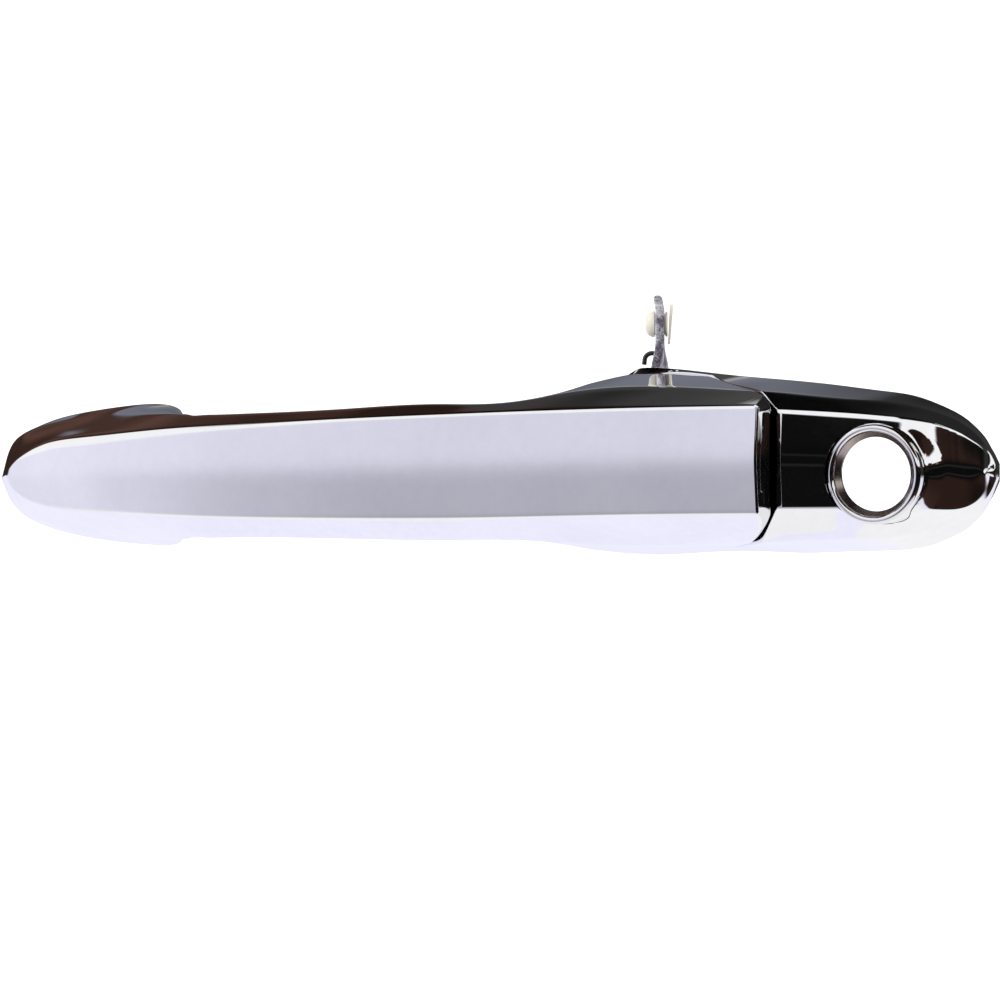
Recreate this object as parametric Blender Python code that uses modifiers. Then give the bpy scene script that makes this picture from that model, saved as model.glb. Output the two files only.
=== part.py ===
"""Pull-type outside car door handle, as an assembly.

Frame: metres, +X along the handle towards the key hole, the front faces -Y, +Z up.
The plane y = 0 is the outside of the door panel. The origin lies on the back of the rear gasket.
Below, lengths are in millimetres and 'station' is the distance from the left tip of the grip.
"""
import bpy
import bmesh
import math
import numpy as np
from mathutils import Matrix, Vector

# ---------------------------------------------------------------- driving dimensions (mm)
MM = 0.001
ORIGIN_STATION = 200.0      # station of x = 0
LENGTH = 252.0              # left tip of the grip to right tip of the cap
EDGE_DROP = 1.2             # how far the front's long edges lie behind its middle
GRIP_FOOT_Y = -2.6          # back of the grip's left foot
FLANGE_Y = -4.0             # front of the rear base where the grip's right foot rests
FOOT_GAP = 0.6              # right foot to flange
BASE_BACK_Y = -1.3          # back of the rear base
TUCK_STATION = 248.5        # from here to the tip the cap's back draws forward
TUCK_DEPTH = 3.6
SKIN_WALL = 2.2             # wall of the plated cover
PLAY = 0.3                  # gap between pieces that touch
RUNNING = 0.07              # gap between a pin and what turns on it
LIP_STATION = 213.5         # the cap's lip, next to the grip's end
LIP_Y = -36.5
RAMP_SLOPE = 0.917          # the cap's ramp under the grip's end, mm of station per mm of depth
GRIP_END = 211.0            # flat end of the grip

BORE_STATION = 234.0        # key hole
BORE_R = 8.0                # narrowest part of the bezel
CONE_R = 9.1                # bezel's cone where it meets the lip
BEZEL_R = 10.8
BEZEL_Y = -34.0             # front of the bezel's lip
FAIRING = 2.4               # width of the swelling that carries the cap up to the bezel

PIVOT_STATION, PIVOT_Y, PIVOT_Z = 6.0, 6.0, -2.5     # grip hinge, along Z
PIN_R = 2.5
LEVER_STATION, LEVER_Y, LEVER_Z = 159.6, 22.0, 14.0     # lever hinge, along X
LEVER_THICK = 2.0
LEVER_TWIST = math.radians(23.0)
FINGER_HALF = 3.0           # half the width of the lever's lower arm
BAR_Z = -6.0                # the bar that pulls the lever
BAR_R = 1.5
BUFFER_R = 2.6
BAR_FREE_PLAY = 0.9
CLIP_Z = 33.0               # rod clip's hole in the lever
CLIP_R = 2.4
LATCH_LEVELS = ((28.4, 1.85, 2.35), (37.6, 2.3, 3.1))   # z, then its faces' distance from the lever's middle

STUD_R = 3.0
STUD_PLACES = ((203.0, 11.5), (203.0, -11.5))
BOSS_PLACES = ((189.5, 12.0), (189.5, -12.0))
BOSS_R = 4.2
FRONT_STUD = (25.0, -2.0)
GRIP_SCREWS = ((37.0, -3.0, GRIP_FOOT_Y, -10.0), (177.5, 9.0, FLANGE_Y - FOOT_GAP, -12.0))
BLADE, BLADE_Z = (168.0, 171.0), (-12.5, -4.0)      # the pull arm's blade
PANEL = 2.1                 # door skin with its stiffener, between gasket and washers
BRACKET_Y = 5.0             # front of the lever bracket's plate
BRACKET_THICK = 2.5


# ---------------------------------------------------------------- curves along the handle
def curve(points, root=None, side=1):
    """Smooth function through (station, value) points. A root gives it a rounded end there."""
    def spread(t):
        if root is None:
            return t
        return side * np.sqrt(np.maximum(side * (t - root), 0.0))

    x = spread(np.array([p[0] for p in points], float))
    v = np.array([p[1] for p in points], float)
    order = np.argsort(x)
    x, v = x[order], v[order]
    n = len(x)
    h = np.diff(x)
    a = np.zeros((n, n))
    b = np.zeros(n)
    a[0, 0] = a[-1, -1] = 1.0
    for i in range(1, n - 1):
        a[i, i - 1:i + 2] = h[i - 1], 2 * (h[i - 1] + h[i]), h[i]
        b[i] = 6 * ((v[i + 1] - v[i]) / h[i] - (v[i] - v[i - 1]) / h[i - 1])
    m = np.linalg.solve(a, b)

    def value(t):
        u = min(max(float(spread(t)), x[0]), x[-1])
        i = min(max(int(np.searchsorted(x, u)) - 1, 0), n - 2)
        d, w = h[i], u - x[i]
        bend = (m[i] * (d - w) ** 3 + m[i + 1] * w ** 3) / (6 * d)
        return bend + (v[i] / d - m[i] * d / 6) * (d - w) + (v[i + 1] / d - m[i + 1] * d / 6) * w

    return value


def step(t, a, b):
    u = min(max((t - a) / (b - a), 0.0), 1.0)
    return u * u * (3 - 2 * u)


# the grip: y of the front, then z of the long edges, of the shoulders behind them and of the foot's rim
FRONT = curve([(0, -4), (2, -8.2), (6.9, -14.2), (13.2, -18.8), (21.8, -23.0), (36.7, -27.9), (50, -31.0),
               (69, -34.6), (89, -37.5), (110, -39.8), (131, -41.4), (150, -42.5), (185, -43.5),
               (212, -43.8)], 0)
TOP_EDGE = curve([(6.5, -2.1), (13.2, 2.5), (21.8, 5.4), (36.7, 7.1), (50, 8.2), (69, 9.5), (89, 10.6),
                  (110, 11.7), (131, 12.6), (149, 13.3), (164, 13.8), (185, 14.4), (212, 14.9)], 6.5)
LOW_EDGE = curve([(6.5, -2.6), (9.8, -6.0), (16.3, -8.3), (27, -9.9), (50, -10.7), (69, -11.0),
                  (110, -10.9), (149, -10.2), (185, -9.2), (212, -8.7)], 6.5)
SHOULDER_Y = curve([(0, -3.5), (3, -5), (12, -7.5), (25, -9), (38, -11), (48, -15.5), (58, -21.5),
                    (68, -25), (106, -31), (130, -33), (146, -33.2), (158, -30.5), (170, -28), (185, -27),
                    (212, -27)])
TOP_SHOULDER = curve([(0, -3.4), (3, 5.0), (8, 7.9), (16.7, 10), (28.7, 11.5), (38, 12.5), (46, 12.9),
                      (55, 12.8), (65, 12.6), (78, 12.9), (106, 14.1), (130, 15.2), (146, 15.5),
                      (156, 16.9), (168, 18.4), (187, 18.6), (212, 17.3)], 0)
LOW_SHOULDER = curve([(0, -3.6), (3, -9.2), (8, -12), (16.7, -14.3), (28.7, -15.8), (40, -16.6),
                      (55, -17.1), (65, -16.7), (106, -16.1), (130, -16.1), (146, -15.8), (158, -16.0),
                      (170, -16.4), (187, -16.2), (212, -14.6)], 0)
TOP_RIM = curve([(0, -3.4), (0.35, 1.0), (0.9, 2.9), (2.7, 5.9), (7.6, 8.9), (13.8, 11.4), (22.8, 13.4),
                 (35, 14.9), (40, 15.1), (44, 14.8), (48, 14.2), (53, 13.5), (58, 13.1), (64, 12.8),
                 (100, 15.5), (150, 19.5), (160, 21.6), (166, 22.3), (180, 21.8), (195, 20.8), (212, 19.2)], 0)
LOW_RIM = curve([(0, -3.6), (0.3, -6.6), (1.5, -9.9), (4.4, -12.8), (9.4, -15.0), (16.8, -16.9),
                 (28.9, -18.7), (39, -19.3), (46, -19.2), (52, -18.7), (60, -17.6), (145, -19.0),
                 (160, -19.4), (166, -19.5), (177, -19.1), (190, -18.5), (212, -18.1)], 0)
STRAP_BACK = curve([(60, -23), (80, -25), (106, -27.5), (130, -29), (150, -29.5)])
# the rounded outline of the grip's end
END_TOP = curve([(190, 21.0), (197, 19.5), (204.2, 17.9), (208.6, 16.2), (210.6, 14.6), (211, 13.9)], 211, -1)
END_LOW = curve([(186, -19.0), (193, -17.8), (201.7, -15.6), (208, -12), (210.6, -9), (211, -7.6)], 211, -1)

# the cap, in the same order
CAP_FRONT = curve([(213.5, -36.5), (222, -35.4), (230, -34.2), (237, -32.7), (241, -31.3), (244, -29.5),
                   (246, -27.2), (248, -23.3), (249.5, -18.5), (250.6, -13.4), (251.4, -9.6),
                   (252, -6.2)], 252, -1)
CAP_TOP_EDGE = curve([(213.5, 13.9), (231, 13.0), (237, 12.5), (241.4, 12.0), (243.6, 11.5), (245.6, 10.8),
                      (247.2, 9.8), (248.5, 8.6), (249.4, 7.3), (250.2, 5.9), (250.6, 4.6), (250.85, 3.1),
                      (251.05, 1.2)], 251.2, -1)
CAP_LOW_EDGE = curve([(213.5, -7.7), (240, -7.6), (245.9, -7.8), (248.3, -7.6), (249.7, -6.4), (250.6, -4.1),
                      (251, -2.2), (251.2, -0.7)], 251.4, -1)
# how far the cap's long edges lie behind its middle
CAP_DROP = curve([(213.5, 1.2), (230, 1.2), (238, 1.2), (243, 1.6), (246, 2.4), (248, 3.3), (249.5, 4.0),
                  (250.6, 3.6), (251.4, 2.0), (252, 0)])
CAP_SHOULDER_Y = curve([(163, -3.0), (178, -6.0), (184, -10), (192, -18), (200, -26), (212, -28),
                        (225, -26), (236, -20), (245, -12), (250, -8), (252, -5.6)])
CAP_TOP_SHOULDER = curve([(163, 21.0), (178, 21.6), (187, 19.6), (200, 18.2), (212, 17.3), (223, 16.3),
                          (232.5, 15.4), (240, 13.6), (245, 11.5), (248, 9.2), (250, 6.6), (251, 4.4),
                          (251.6, 2.6), (252, 0.1)], 252, -1)
CAP_LOW_SHOULDER = curve([(163, -18.6), (178, -18.4), (187, -17.2), (200, -15.8), (212, -14.8),
                          (227, -14.2), (236, -13.4), (243, -11.4), (248, -9.0), (250, -6.9), (251, -4.6),
                          (251.6, -2.6), (252, -0.9)], 252, -1)
CAP_TOP_RIM = curve([(162.5, 21.8), (164.5, 22.9), (167, 23.2), (178, 22.4), (190, 21.2), (200, 20.4),
                     (212, 19.3), (223, 18.0), (231, 16.9), (237.4, 14.8), (243.5, 11.7), (246.3, 9.3),
                     (248, 7.4), (249.2, 5.4), (250.2, 3.4), (251.2, 1.6), (252, 0.1)], 252, -1)
CAP_LOW_RIM = curve([(162.5, -18.8), (166, -19.2), (178, -18.8), (197, -18.2), (205, -18.4), (213, -18.1),
                     (227, -17.5), (234.7, -16.5), (240.6, -14.2), (243.6, -12.6), (246, -10.5),
                     (248, -8.2), (249.4, -5.4), (250.4, -3.2), (251.2, -1.9), (252, -0.9)], 252, -1)


def ramp(s):
    return LIP_Y + (LIP_STATION - s) / RAMP_SLOPE


def grip_back_y(s):
    """Back of the grip: left foot, finger ramp, strap, finger ramp, right foot, then along the cap's ramp."""
    strap = STRAP_BACK(s)
    right_foot = FLANGE_Y - FOOT_GAP
    if s < 100:
        return GRIP_FOOT_Y + (strap - GRIP_FOOT_Y) * step(s, 43.5, 64)
    return min(right_foot + (strap - right_foot) * (1 - step(s, 148, 166)), ramp(s) - 1.0)


def cap_back_y(s):
    """Back of the rear base, which draws forward at the cap's tip."""
    share = min(max((s - TUCK_STATION) / (LENGTH - TUCK_STATION), 0.0), 1.0)
    return BASE_BACK_Y - TUCK_DEPTH * (1 - math.sqrt(1 - share ** 2))


def skin_z(y, edge, shoulder, rim):
    """z of the outer skin at depth y, from the long edge over the shoulder to the rim."""
    if y < shoulder[0]:
        return edge[1] + (shoulder[1] - edge[1]) * (y - edge[0]) / (shoulder[0] - edge[0])
    return shoulder[1] + (rim[1] - shoulder[1]) * (y - shoulder[0]) / (rim[0] - shoulder[0])


def closed_spline(control, count):
    """Points along the closed uniform cubic B-spline of a control polygon."""
    m = len(control)
    t = np.arange(count) * m / count
    i = np.floor(t).astype(int)
    u = (t - i)[:, None]
    c = [control[(i + k - 1) % m] for k in range(4)]
    return ((1 - u) ** 3 * c[0] + (3 * u ** 3 - 6 * u ** 2 + 4) * c[1]
            + (-3 * u ** 3 + 3 * u ** 2 + 3 * u + 1) * c[2] + u ** 3 * c[3]) / 6


def rounded(corners, count):
    """Closed section from corners (y, z, size of its rounding)."""
    points = [np.array(c[:2], float) for c in corners]
    control = []
    for i, p in enumerate(points):
        before, after = points[i - 1], points[(i + 1) % len(points)]
        for q, own in ((before, False), (after, True)):
            reach = max(np.linalg.norm(q - p), 1e-9)
            if own:
                control.append(p)
            control.append(p + (q - p) * min(corners[i][2], 0.4 * reach) / reach)
    return closed_spline(np.array(control), count)


def grip_section(s, count, wall=0.0, back_offset=0.0):
    """(y, z) round the grip at a station, or round a surface wall millimetres inside it."""
    front = FRONT(s) + wall
    drop = EDGE_DROP * step(s, 2, 20) + 0.15
    middle = -2.35 - max(6.5 - s, 0) * 0.18
    top, low = (TOP_EDGE(s), LOW_EDGE(s)) if s > 6.5 else (middle + 0.25, middle - 0.25)
    back = grip_back_y(s) + back_offset
    in_strap = step(s, 50, 62) * (1 - step(s, 149, 159))
    top_round = 1.0 + 1.9 * (1 - step(s, 10, 110))
    low_round = 1.0 + 1.5 * (1 - step(s, 5, 60))
    half = []
    for side, edge_z, shoulder_z, rim_z, end in ((1, top, TOP_SHOULDER(s), TOP_RIM(s), END_TOP),
                                                 (-1, low, LOW_SHOULDER(s), LOW_RIM(s), END_LOW)):
        edge = (front + drop, edge_z - side * wall)
        shoulder = (SHOULDER_Y(s), shoulder_z - side * wall)
        rim = (-1.0, rim_z - side * wall)
        y2 = min(shoulder[0], back - 1.0)
        z2 = skin_z(y2, edge, shoulder, rim)
        z3 = skin_z(back, edge, shoulder, rim) * (1 - in_strap) + (shoulder[1] - side * 2.4) * in_strap
        limit = side * end(s) - wall if s > 186 else 99.0
        if side * z3 > limit:
            z3 = z2 = side * limit
            ys = np.linspace(edge[0], back, 120)
            zs = np.array([side * skin_z(y, edge, shoulder, rim) for y in ys])
            y2 = min(max(float(np.interp(limit, zs, ys)), edge[0] + 0.3), back - 0.3)
        half.append((edge, (y2, z2), (back, z3)))
    (e1, h1, b1), (e2, h2, b2) = half
    return rounded([(*e1, top_round), (*h1, 3.5), (*b1, 1.2), (*b2, 1.2), (*h2, 3.5), (*e2, low_round),
                    (front, (e1[1] + e2[1]) / 2, 6.0)], count)


def cap_section(s, count, wall=0.0, back_offset=0.0):
    """(y, z) round the rear base at a station: flange, ramp, then cap."""
    if s >= LIP_STATION:
        front = CAP_FRONT(s) + wall
        edge_y = front + CAP_DROP(s) + 0.15
        top, low = CAP_TOP_EDGE(s), CAP_LOW_EDGE(s)
    else:
        front = min(ramp(s), FLANGE_Y) + wall
        edge_y = CAP_FRONT(LIP_STATION) + EDGE_DROP + 0.15
        top, low = CAP_TOP_EDGE(LIP_STATION), CAP_LOW_EDGE(LIP_STATION)
    half = []
    for side, edge_z, shoulder_z, rim_z in ((1, top, CAP_TOP_SHOULDER(s), CAP_TOP_RIM(s)),
                                            (-1, low, CAP_LOW_SHOULDER(s), CAP_LOW_RIM(s))):
        edge = (edge_y, edge_z - side * wall)
        shoulder = (max(CAP_SHOULDER_Y(s), edge_y + 0.5), shoulder_z - side * wall)
        rim = (cap_back_y(s) + back_offset, rim_z - side * wall)
        y1 = max(front, edge_y)
        y2 = max(shoulder[0], y1 + 0.8)
        half.append(((y1, skin_z(y1, edge, shoulder, rim)), (y2, skin_z(y2, edge, shoulder, rim)), rim))
    (e1, h1, b1), (e2, h2, b2) = half
    section = rounded([(*e1, 0.8), (*h1, 3.5), (*b1, 0.8), (*b2, 0.8), (*h2, 3.5), (*e2, 0.8),
                       (front, (e1[1] + e2[1]) / 2, 5.0)], count)
    return section if wall else faired(s, section)


def faired(s, section):
    """The cap's section with the swelling round the bezel, where the cap falls away from it."""
    made = np.array(section)
    target = BEZEL_Y + 3.2
    for point in made:
        away = math.hypot(s - BORE_STATION, point[1]) - BEZEL_R
        share = (1 - step(away, 0, FAIRING)) * (1 - step(abs(point[1]), 6.5, 10.5)) * step(s, 228, 238)
        if point[0] > target:
            point[0] += (target - point[0]) * share
    return made


# ---------------------------------------------------------------- scene, materials and mesh helpers
def clear_scene():
    for item in list(bpy.data.objects):
        bpy.data.objects.remove(item, do_unlink=True)


clear_scene()
HANDLE = bpy.data.collections.new("car_door_handle")
CUTTERS = bpy.data.collections.new("cutters")
for group in (HANDLE, CUTTERS):
    bpy.context.scene.collection.children.link(group)


def material(name, colour, metallic, roughness):
    made = bpy.data.materials.new(name)
    made.use_nodes = True
    shader = made.node_tree.nodes["Principled BSDF"]
    shader.inputs["Base Color"].default_value = (*colour, 1.0)
    shader.inputs["Metallic"].default_value = metallic
    shader.inputs["Roughness"].default_value = roughness
    return made


CHROME = material("chrome", (0.82, 0.82, 0.85), 1.0, 0.05)
BEZEL = material("satin_nickel", (0.55, 0.50, 0.47), 1.0, 0.28)
BLACK = material("black_nylon", (0.02, 0.02, 0.022), 0.0, 0.45)
RUBBER = material("rubber", (0.03, 0.03, 0.03), 0.0, 0.8)
ZINC = material("zinc_plate", (0.50, 0.48, 0.52), 1.0, 0.4)
DIECAST = material("diecast", (0.42, 0.42, 0.43), 1.0, 0.5)
SPRING = material("spring_steel", (0.12, 0.11, 0.10), 1.0, 0.35)
IVORY = material("ivory_plastic", (0.85, 0.80, 0.68), 0.0, 0.4)


def place(s, y, z):
    """Station, y and z in millimetres to metres in the model's frame."""
    return Vector(((s - ORIGIN_STATION) * MM, y * MM, z * MM))


def add_object(name, mesh, look, group=HANDLE):
    made = bpy.data.objects.new(name, mesh)
    group.objects.link(made)
    if look:
        mesh.materials.append(look)
    return made


def finish(name, mesh_data, look, group=HANDLE):
    """Object from a bmesh, with its faces turned outwards."""
    bmesh.ops.recalc_face_normals(mesh_data, faces=mesh_data.faces)
    if mesh_data.calc_volume(signed=True) < 0:
        bmesh.ops.reverse_faces(mesh_data, faces=mesh_data.faces)
    mesh = bpy.data.meshes.new(name)
    mesh_data.to_mesh(mesh)
    mesh_data.free()
    return add_object(name, mesh, look, group)


def loft(name, rings, look, group=HANDLE):
    """Closed solid through rings of the same number of points."""
    made = bmesh.new()
    rows = [[made.verts.new(p) for p in ring] for ring in rings]
    count = len(rows[0])
    for low, high in zip(rows, rows[1:]):
        for i in range(count):
            j = (i + 1) % count
            made.faces.new((low[i], low[j], high[j], high[i]))
    made.faces.new(rows[0])
    made.faces.new(rows[-1])
    return finish(name, made, look, group)


def loft_along(name, stations, section, look, group=HANDLE):
    rings = [[place(s, y, z) for y, z in section(s)] for s in stations]
    return loft(name, rings, look, group)


def box(name, low, high, look, group=HANDLE):
    """Box between two corners given as (station, y, z)."""
    a, b = place(*low), place(*high)
    made = bmesh.new()
    bmesh.ops.create_cube(made, size=1.0)
    bmesh.ops.scale(made, vec=b - a, verts=made.verts)
    bmesh.ops.translate(made, vec=(a + b) / 2, verts=made.verts)
    return finish(name, made, look, group)


TURN = {"X": Matrix.Rotation(math.radians(90), 4, "Y"), "Y": Matrix.Rotation(math.radians(-90), 4, "X"),
        "Z": Matrix.Identity(4)}


def cylinder(name, centre, radius, length, axis, look, group=HANDLE, sides=24, turn=None):
    """Cylinder centred on a point."""
    made = bmesh.new()
    bmesh.ops.create_cone(made, cap_ends=True, segments=sides, radius1=radius * MM, radius2=radius * MM,
                          depth=length * MM)
    bmesh.ops.transform(made, matrix=turn or TURN[axis], verts=made.verts)
    bmesh.ops.translate(made, vec=place(*centre), verts=made.verts)
    return finish(name, made, look, group)


def turned(name, origin, axis, profile, look, sides=48):
    """Ring turned from a closed (radius, height) profile that runs down its outer side."""
    mesh = bpy.data.meshes.new(name)
    count = len(profile)
    mesh.from_pydata([(r * MM, 0, h * MM) for r, h in profile], [(i, (i + 1) % count) for i in range(count)],
                     [])
    made = add_object(name, mesh, look)
    made.matrix_world = Matrix.Translation(place(*origin)) @ TURN[axis]
    screw = made.modifiers.new("turn", "SCREW")
    screw.steps = screw.render_steps = sides
    screw.use_merge_vertices = True
    screw.merge_threshold = 0.00001
    return made


def plate(name, outline, low_y, high_y, look, group=HANDLE):
    """Flat plate parallel to the door, from an outline of (station, z) points."""
    rings = [[place(s, y, z) for s, z in outline] for y in (low_y, high_y)]
    return loft(name, rings, look, group)


def cut(target, cutter, operation="DIFFERENCE"):
    cutter.hide_render = True
    cutter.display_type = "WIRE"
    boolean = target.modifiers.new(cutter.name, "BOOLEAN")
    boolean.operation = operation
    boolean.object = cutter


def drill(target, name, centre, radius, length, axis, sides=24):
    cut(target, cylinder(name, centre, radius, length, axis, None, CUTTERS, sides))


def slot(target, name, low, high):
    cut(target, box(name, low, high, None, CUTTERS))


# ---------------------------------------------------------------- the grip unit
def make_grip():
    nose = [0.04 + 23.96 * (i / 8) ** 2 for i in range(9)]
    body = [32, 40, 43.5, 47, 51, 55, 59, 64, 72, 84, 98, 112, 126, 138, 147, 151, 155, 159, 163, 167,
            176, 186, 193, 199, 204, 207.5, 209.8, 210.6, GRIP_END - 0.04]
    cover = loft_along("grip_cover", nose + body, lambda s: grip_section(s, 30), CHROME)
    middle = [7, 11, 17, 25, 34, 42, 46, 50, 55, 60, 66, 84, 105, 126, 146, 151, 156, 161, 168, 186, 198]
    hollow = loft_along("grip_hollow", [4.5] + middle + [205],
                        lambda s: grip_section(s, 24, SKIN_WALL, 1.5), None, CUTTERS)
    cut(cover, hollow)
    core = loft_along("grip_back", [5.2] + middle + [204.2],
                      lambda s: grip_section(s, 24, SKIN_WALL + PLAY, -0.2), BLACK)
    for number, (s, z, back, inner_end) in enumerate(GRIP_SCREWS, 1):
        front = FRONT(s) + 1.0
        boss = cylinder(f"cover_boss_{number}", (s, (front + inner_end) / 2, z), 3.4, inner_end - front,
                        "Y", None, CUTTERS, 16)
        cut(cover, boss, "UNION")
        drill(cover, f"cover_boss_hole_{number}", (s, inner_end - 4, z), 1.9, 14.0, "Y", 12)
        drill(core, f"boss_room_{number}", (s, (front + inner_end) / 2 + PLAY, z), 3.7,
              inner_end - front, "Y", 16)
        head_y = back - 2.0
        drill(core, f"shank_hole_{number}", (s, head_y - 6.0, z), 1.9, 14.0, "Y", 12)
        drill(core, f"head_recess_{number}", (s, head_y - PLAY + 3.0, z), 4.0, 6.0, "Y", 16)
        screw = cylinder(f"grip_screw_{number}", (s, head_y - 5.0, z), 1.6, 12.0, "Y", ZINC, sides=12)
        cut(screw, cylinder(f"screw_head_{number}", (s, head_y + 0.9, z), 3.6, 1.8, "Y", None, CUTTERS, 16),
            "UNION")
    drill(core, "stud_head_room", (FRONT_STUD[0], -5.0, FRONT_STUD[1]), 8.5, 6.0, "Y", 24)
    slot(core, "pull_arm_socket", (BLADE[0] - PLAY, -18.0, BLADE_Z[0] - PLAY),
         (BLADE[1] + PLAY, 0.0, BLADE_Z[1] + PLAY))
    slot(core, "pivot_arm_socket", (7.0 - PLAY, -9.3, PIVOT_Z - 4.5 - PLAY),
         (13.0 + PLAY, 0, PIVOT_Z + 4.5 + PLAY))


def make_grip_arms():
    bar_y = LEVER_Y + FINGER_HALF + BUFFER_R + BAR_FREE_PLAY
    arm = box("pull_arm", (BLADE[0], -17.5, BLADE_Z[0]), (BLADE[1], bar_y + 3.0, BLADE_Z[1]), DIECAST)
    bar_start = LEVER_STATION - 2.6
    bar = cylinder("pull_bar", ((bar_start + BLADE[0] + 1.5) / 2, bar_y, BAR_Z), BAR_R,
                   BLADE[0] + 1.5 - bar_start, "X", None, CUTTERS, 16)
    cut(arm, bar, "UNION")
    turned("pull_buffer", (LEVER_STATION, bar_y, BAR_Z), "X",
           [(BAR_R + PLAY, 1.5), (BUFFER_R, 1.5), (BUFFER_R, -1.5), (BAR_R + PLAY, -1.5)], RUBBER, 20)
    low, high = PIVOT_Z - 4.5, PIVOT_Z + 4.5
    lug = box("pivot_arm", (7.4, -7.2, low), (13.0, PIVOT_Y, high), DIECAST)
    cut(lug, cylinder("pivot_eye", (PIVOT_STATION, PIVOT_Y, PIVOT_Z), 4.6, 9.0, "Z", None, CUTTERS, 24),
        "UNION")
    drill(lug, "pivot_eye_hole", (PIVOT_STATION, PIVOT_Y, PIVOT_Z), PIN_R + RUNNING, 12.0, "Z", 32)


# ---------------------------------------------------------------- the fixed rear unit
def rim_outline(top_rim, low_rim, stations, inset):
    """(station, z) outline of a foot's rim, moved inwards."""
    top = [(s, top_rim(s) - inset) for s in stations]
    low = [(s, low_rim(s) + inset) for s in reversed(stations)]
    return top + low


def make_rear_base():
    flange = [162.6, 163.4, 165, 168, 173, 178, 182.5, 186, 190, 196, 202, 208, 211.5, LIP_STATION - 0.15]
    cap = [LIP_STATION + 0.1, 218, 224, 231, 237, 241, 244, 246.5, 248.3, 249.6, 250.6, 251.3, 251.75,
           LENGTH - 0.04]
    base = loft_along("rear_base", flange + cap, lambda s: cap_section(s, 30), CHROME)
    pocket = loft_along("lock_pocket", [212, 218, 224, 232, 239, 243.5, 246],
                        lambda s: cap_section(s, 24, 3.0, 2.0), None, CUTTERS)
    cut(base, pocket)
    drill(base, "bezel_hole", (BORE_STATION, -30.0, 0), BEZEL_R + PLAY, 22.0, "Y", 40)
    slot(base, "pull_arm_slot", (164.9, -8, BLADE_Z[0] - 1.2), (173.0, 2, BLADE_Z[1] + 1.2))
    for number, (s, z) in enumerate(BOSS_PLACES, 1):
        tip = BRACKET_Y - PLAY
        cut(base, cylinder(f"base_boss_{number}", (s, tip / 2 - 2.0, z), BOSS_R, tip + 4.0, "Y", None,
                           CUTTERS, 20), "UNION")
        drill(base, f"base_boss_hole_{number}", (s, tip - 3.0, z), 2.3, 10.0, "Y", 12)
    for number, (s, z) in enumerate(STUD_PLACES, 1):
        drill(base, f"stud_hole_{number}", (s, -4.5, z), STUD_R + PLAY, 9.0, "Y", 16)


def make_bezel():
    """Ring round the key hole: a rounded lip, a cone, and a skirt through the cap's wall."""
    lip = [(CONE_R + 0.85 + 0.85 * math.cos(a), 0.85 * math.sin(a) - 0.85)
           for a in [math.radians(d) for d in (180, 150, 120, 90, 60, 30, 0)]]
    profile = [(BORE_R, -2.0)] + lip + [(BEZEL_R, -10.4), (BEZEL_R - 0.8, -10.4), (BEZEL_R - 0.8, -5.0),
                                        (BORE_R, -2.6)]
    ring = turned("key_bezel", (BORE_STATION, BEZEL_Y, 0), "Y", [(r, -h) for r, h in profile][::-1],
                  BEZEL, 48)
    slot(ring, "bezel_relief", (215, BEZEL_Y + 7.4, -14), (230, BEZEL_Y + 14, 14))


def make_rear_gasket():
    stations = [163.6, 165, 168, 174, 182, 190, 200, 212, 224, 234, 240, 244.5, 247.5, 249.5, 250.6]
    gasket = plate("rear_gasket", rim_outline(CAP_TOP_RIM, CAP_LOW_RIM, stations, 0.8), -1.0, 0.0, RUBBER)
    opening = rim_outline(CAP_TOP_RIM, CAP_LOW_RIM, [211.6, 224, 234, 240, 244.5], 4.6)
    cut(gasket, plate("gasket_opening", opening, -2.0, 1.0, None, CUTTERS))
    slot(gasket, "gasket_arm_slot", (165.4, -2, BLADE_Z[0] - 1.5), (173.5, 2, BLADE_Z[1] + 1.5))
    for number, (s, z) in enumerate(BOSS_PLACES, 1):
        drill(gasket, f"gasket_boss_hole_{number}", (s, -0.5, z), BOSS_R + PLAY, 3.0, "Y", 20)
    for number, (s, z) in enumerate(STUD_PLACES, 1):
        drill(gasket, f"gasket_stud_hole_{number}", (s, -0.5, z), STUD_R + PLAY, 3.0, "Y", 16)


def stud_set(prefix, s, z, start, end, washer_y, suffix=""):
    """Threaded stud with its washer and nut behind the door panel."""
    cylinder(f"{prefix}_stud{suffix}", (s, (start + end) / 2, z), STUD_R, end - start, "Y", ZINC, sides=20)
    turned(f"{prefix}_washer{suffix}", (s, washer_y, z), "Y",
           [(STUD_R + PLAY, 1.2), (6.0, 1.2), (6.0, 0), (STUD_R + PLAY, 0)], ZINC, 24)
    nut = cylinder(f"{prefix}_nut{suffix}", (s, washer_y + 1.5 + 2.5, z), 5.77, 5.0, "Y", ZINC, sides=6)
    drill(nut, f"{prefix}_nut_hole{suffix}", (s, washer_y + 4.0, z), STUD_R + PLAY, 9.0, "Y", 20)


def make_rear_fasteners():
    for number, (s, z) in enumerate(STUD_PLACES, 1):
        stud_set("rear", s, z, -8.7, 13.0, PANEL + PLAY, f"_{number}")
    for number, (s, z) in enumerate(BOSS_PLACES, 1):
        head_y = BRACKET_Y + BRACKET_THICK + PLAY
        screw = cylinder(f"bracket_screw_{number}", (s, head_y - 3.0, z), 2.0, 9.0, "Y", ZINC, sides=16)
        cut(screw, cylinder(f"bracket_screw_head_{number}", (s, head_y + 1.2, z), 4.2, 2.4, "Y", None,
                            CUTTERS, 6), "UNION")


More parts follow.
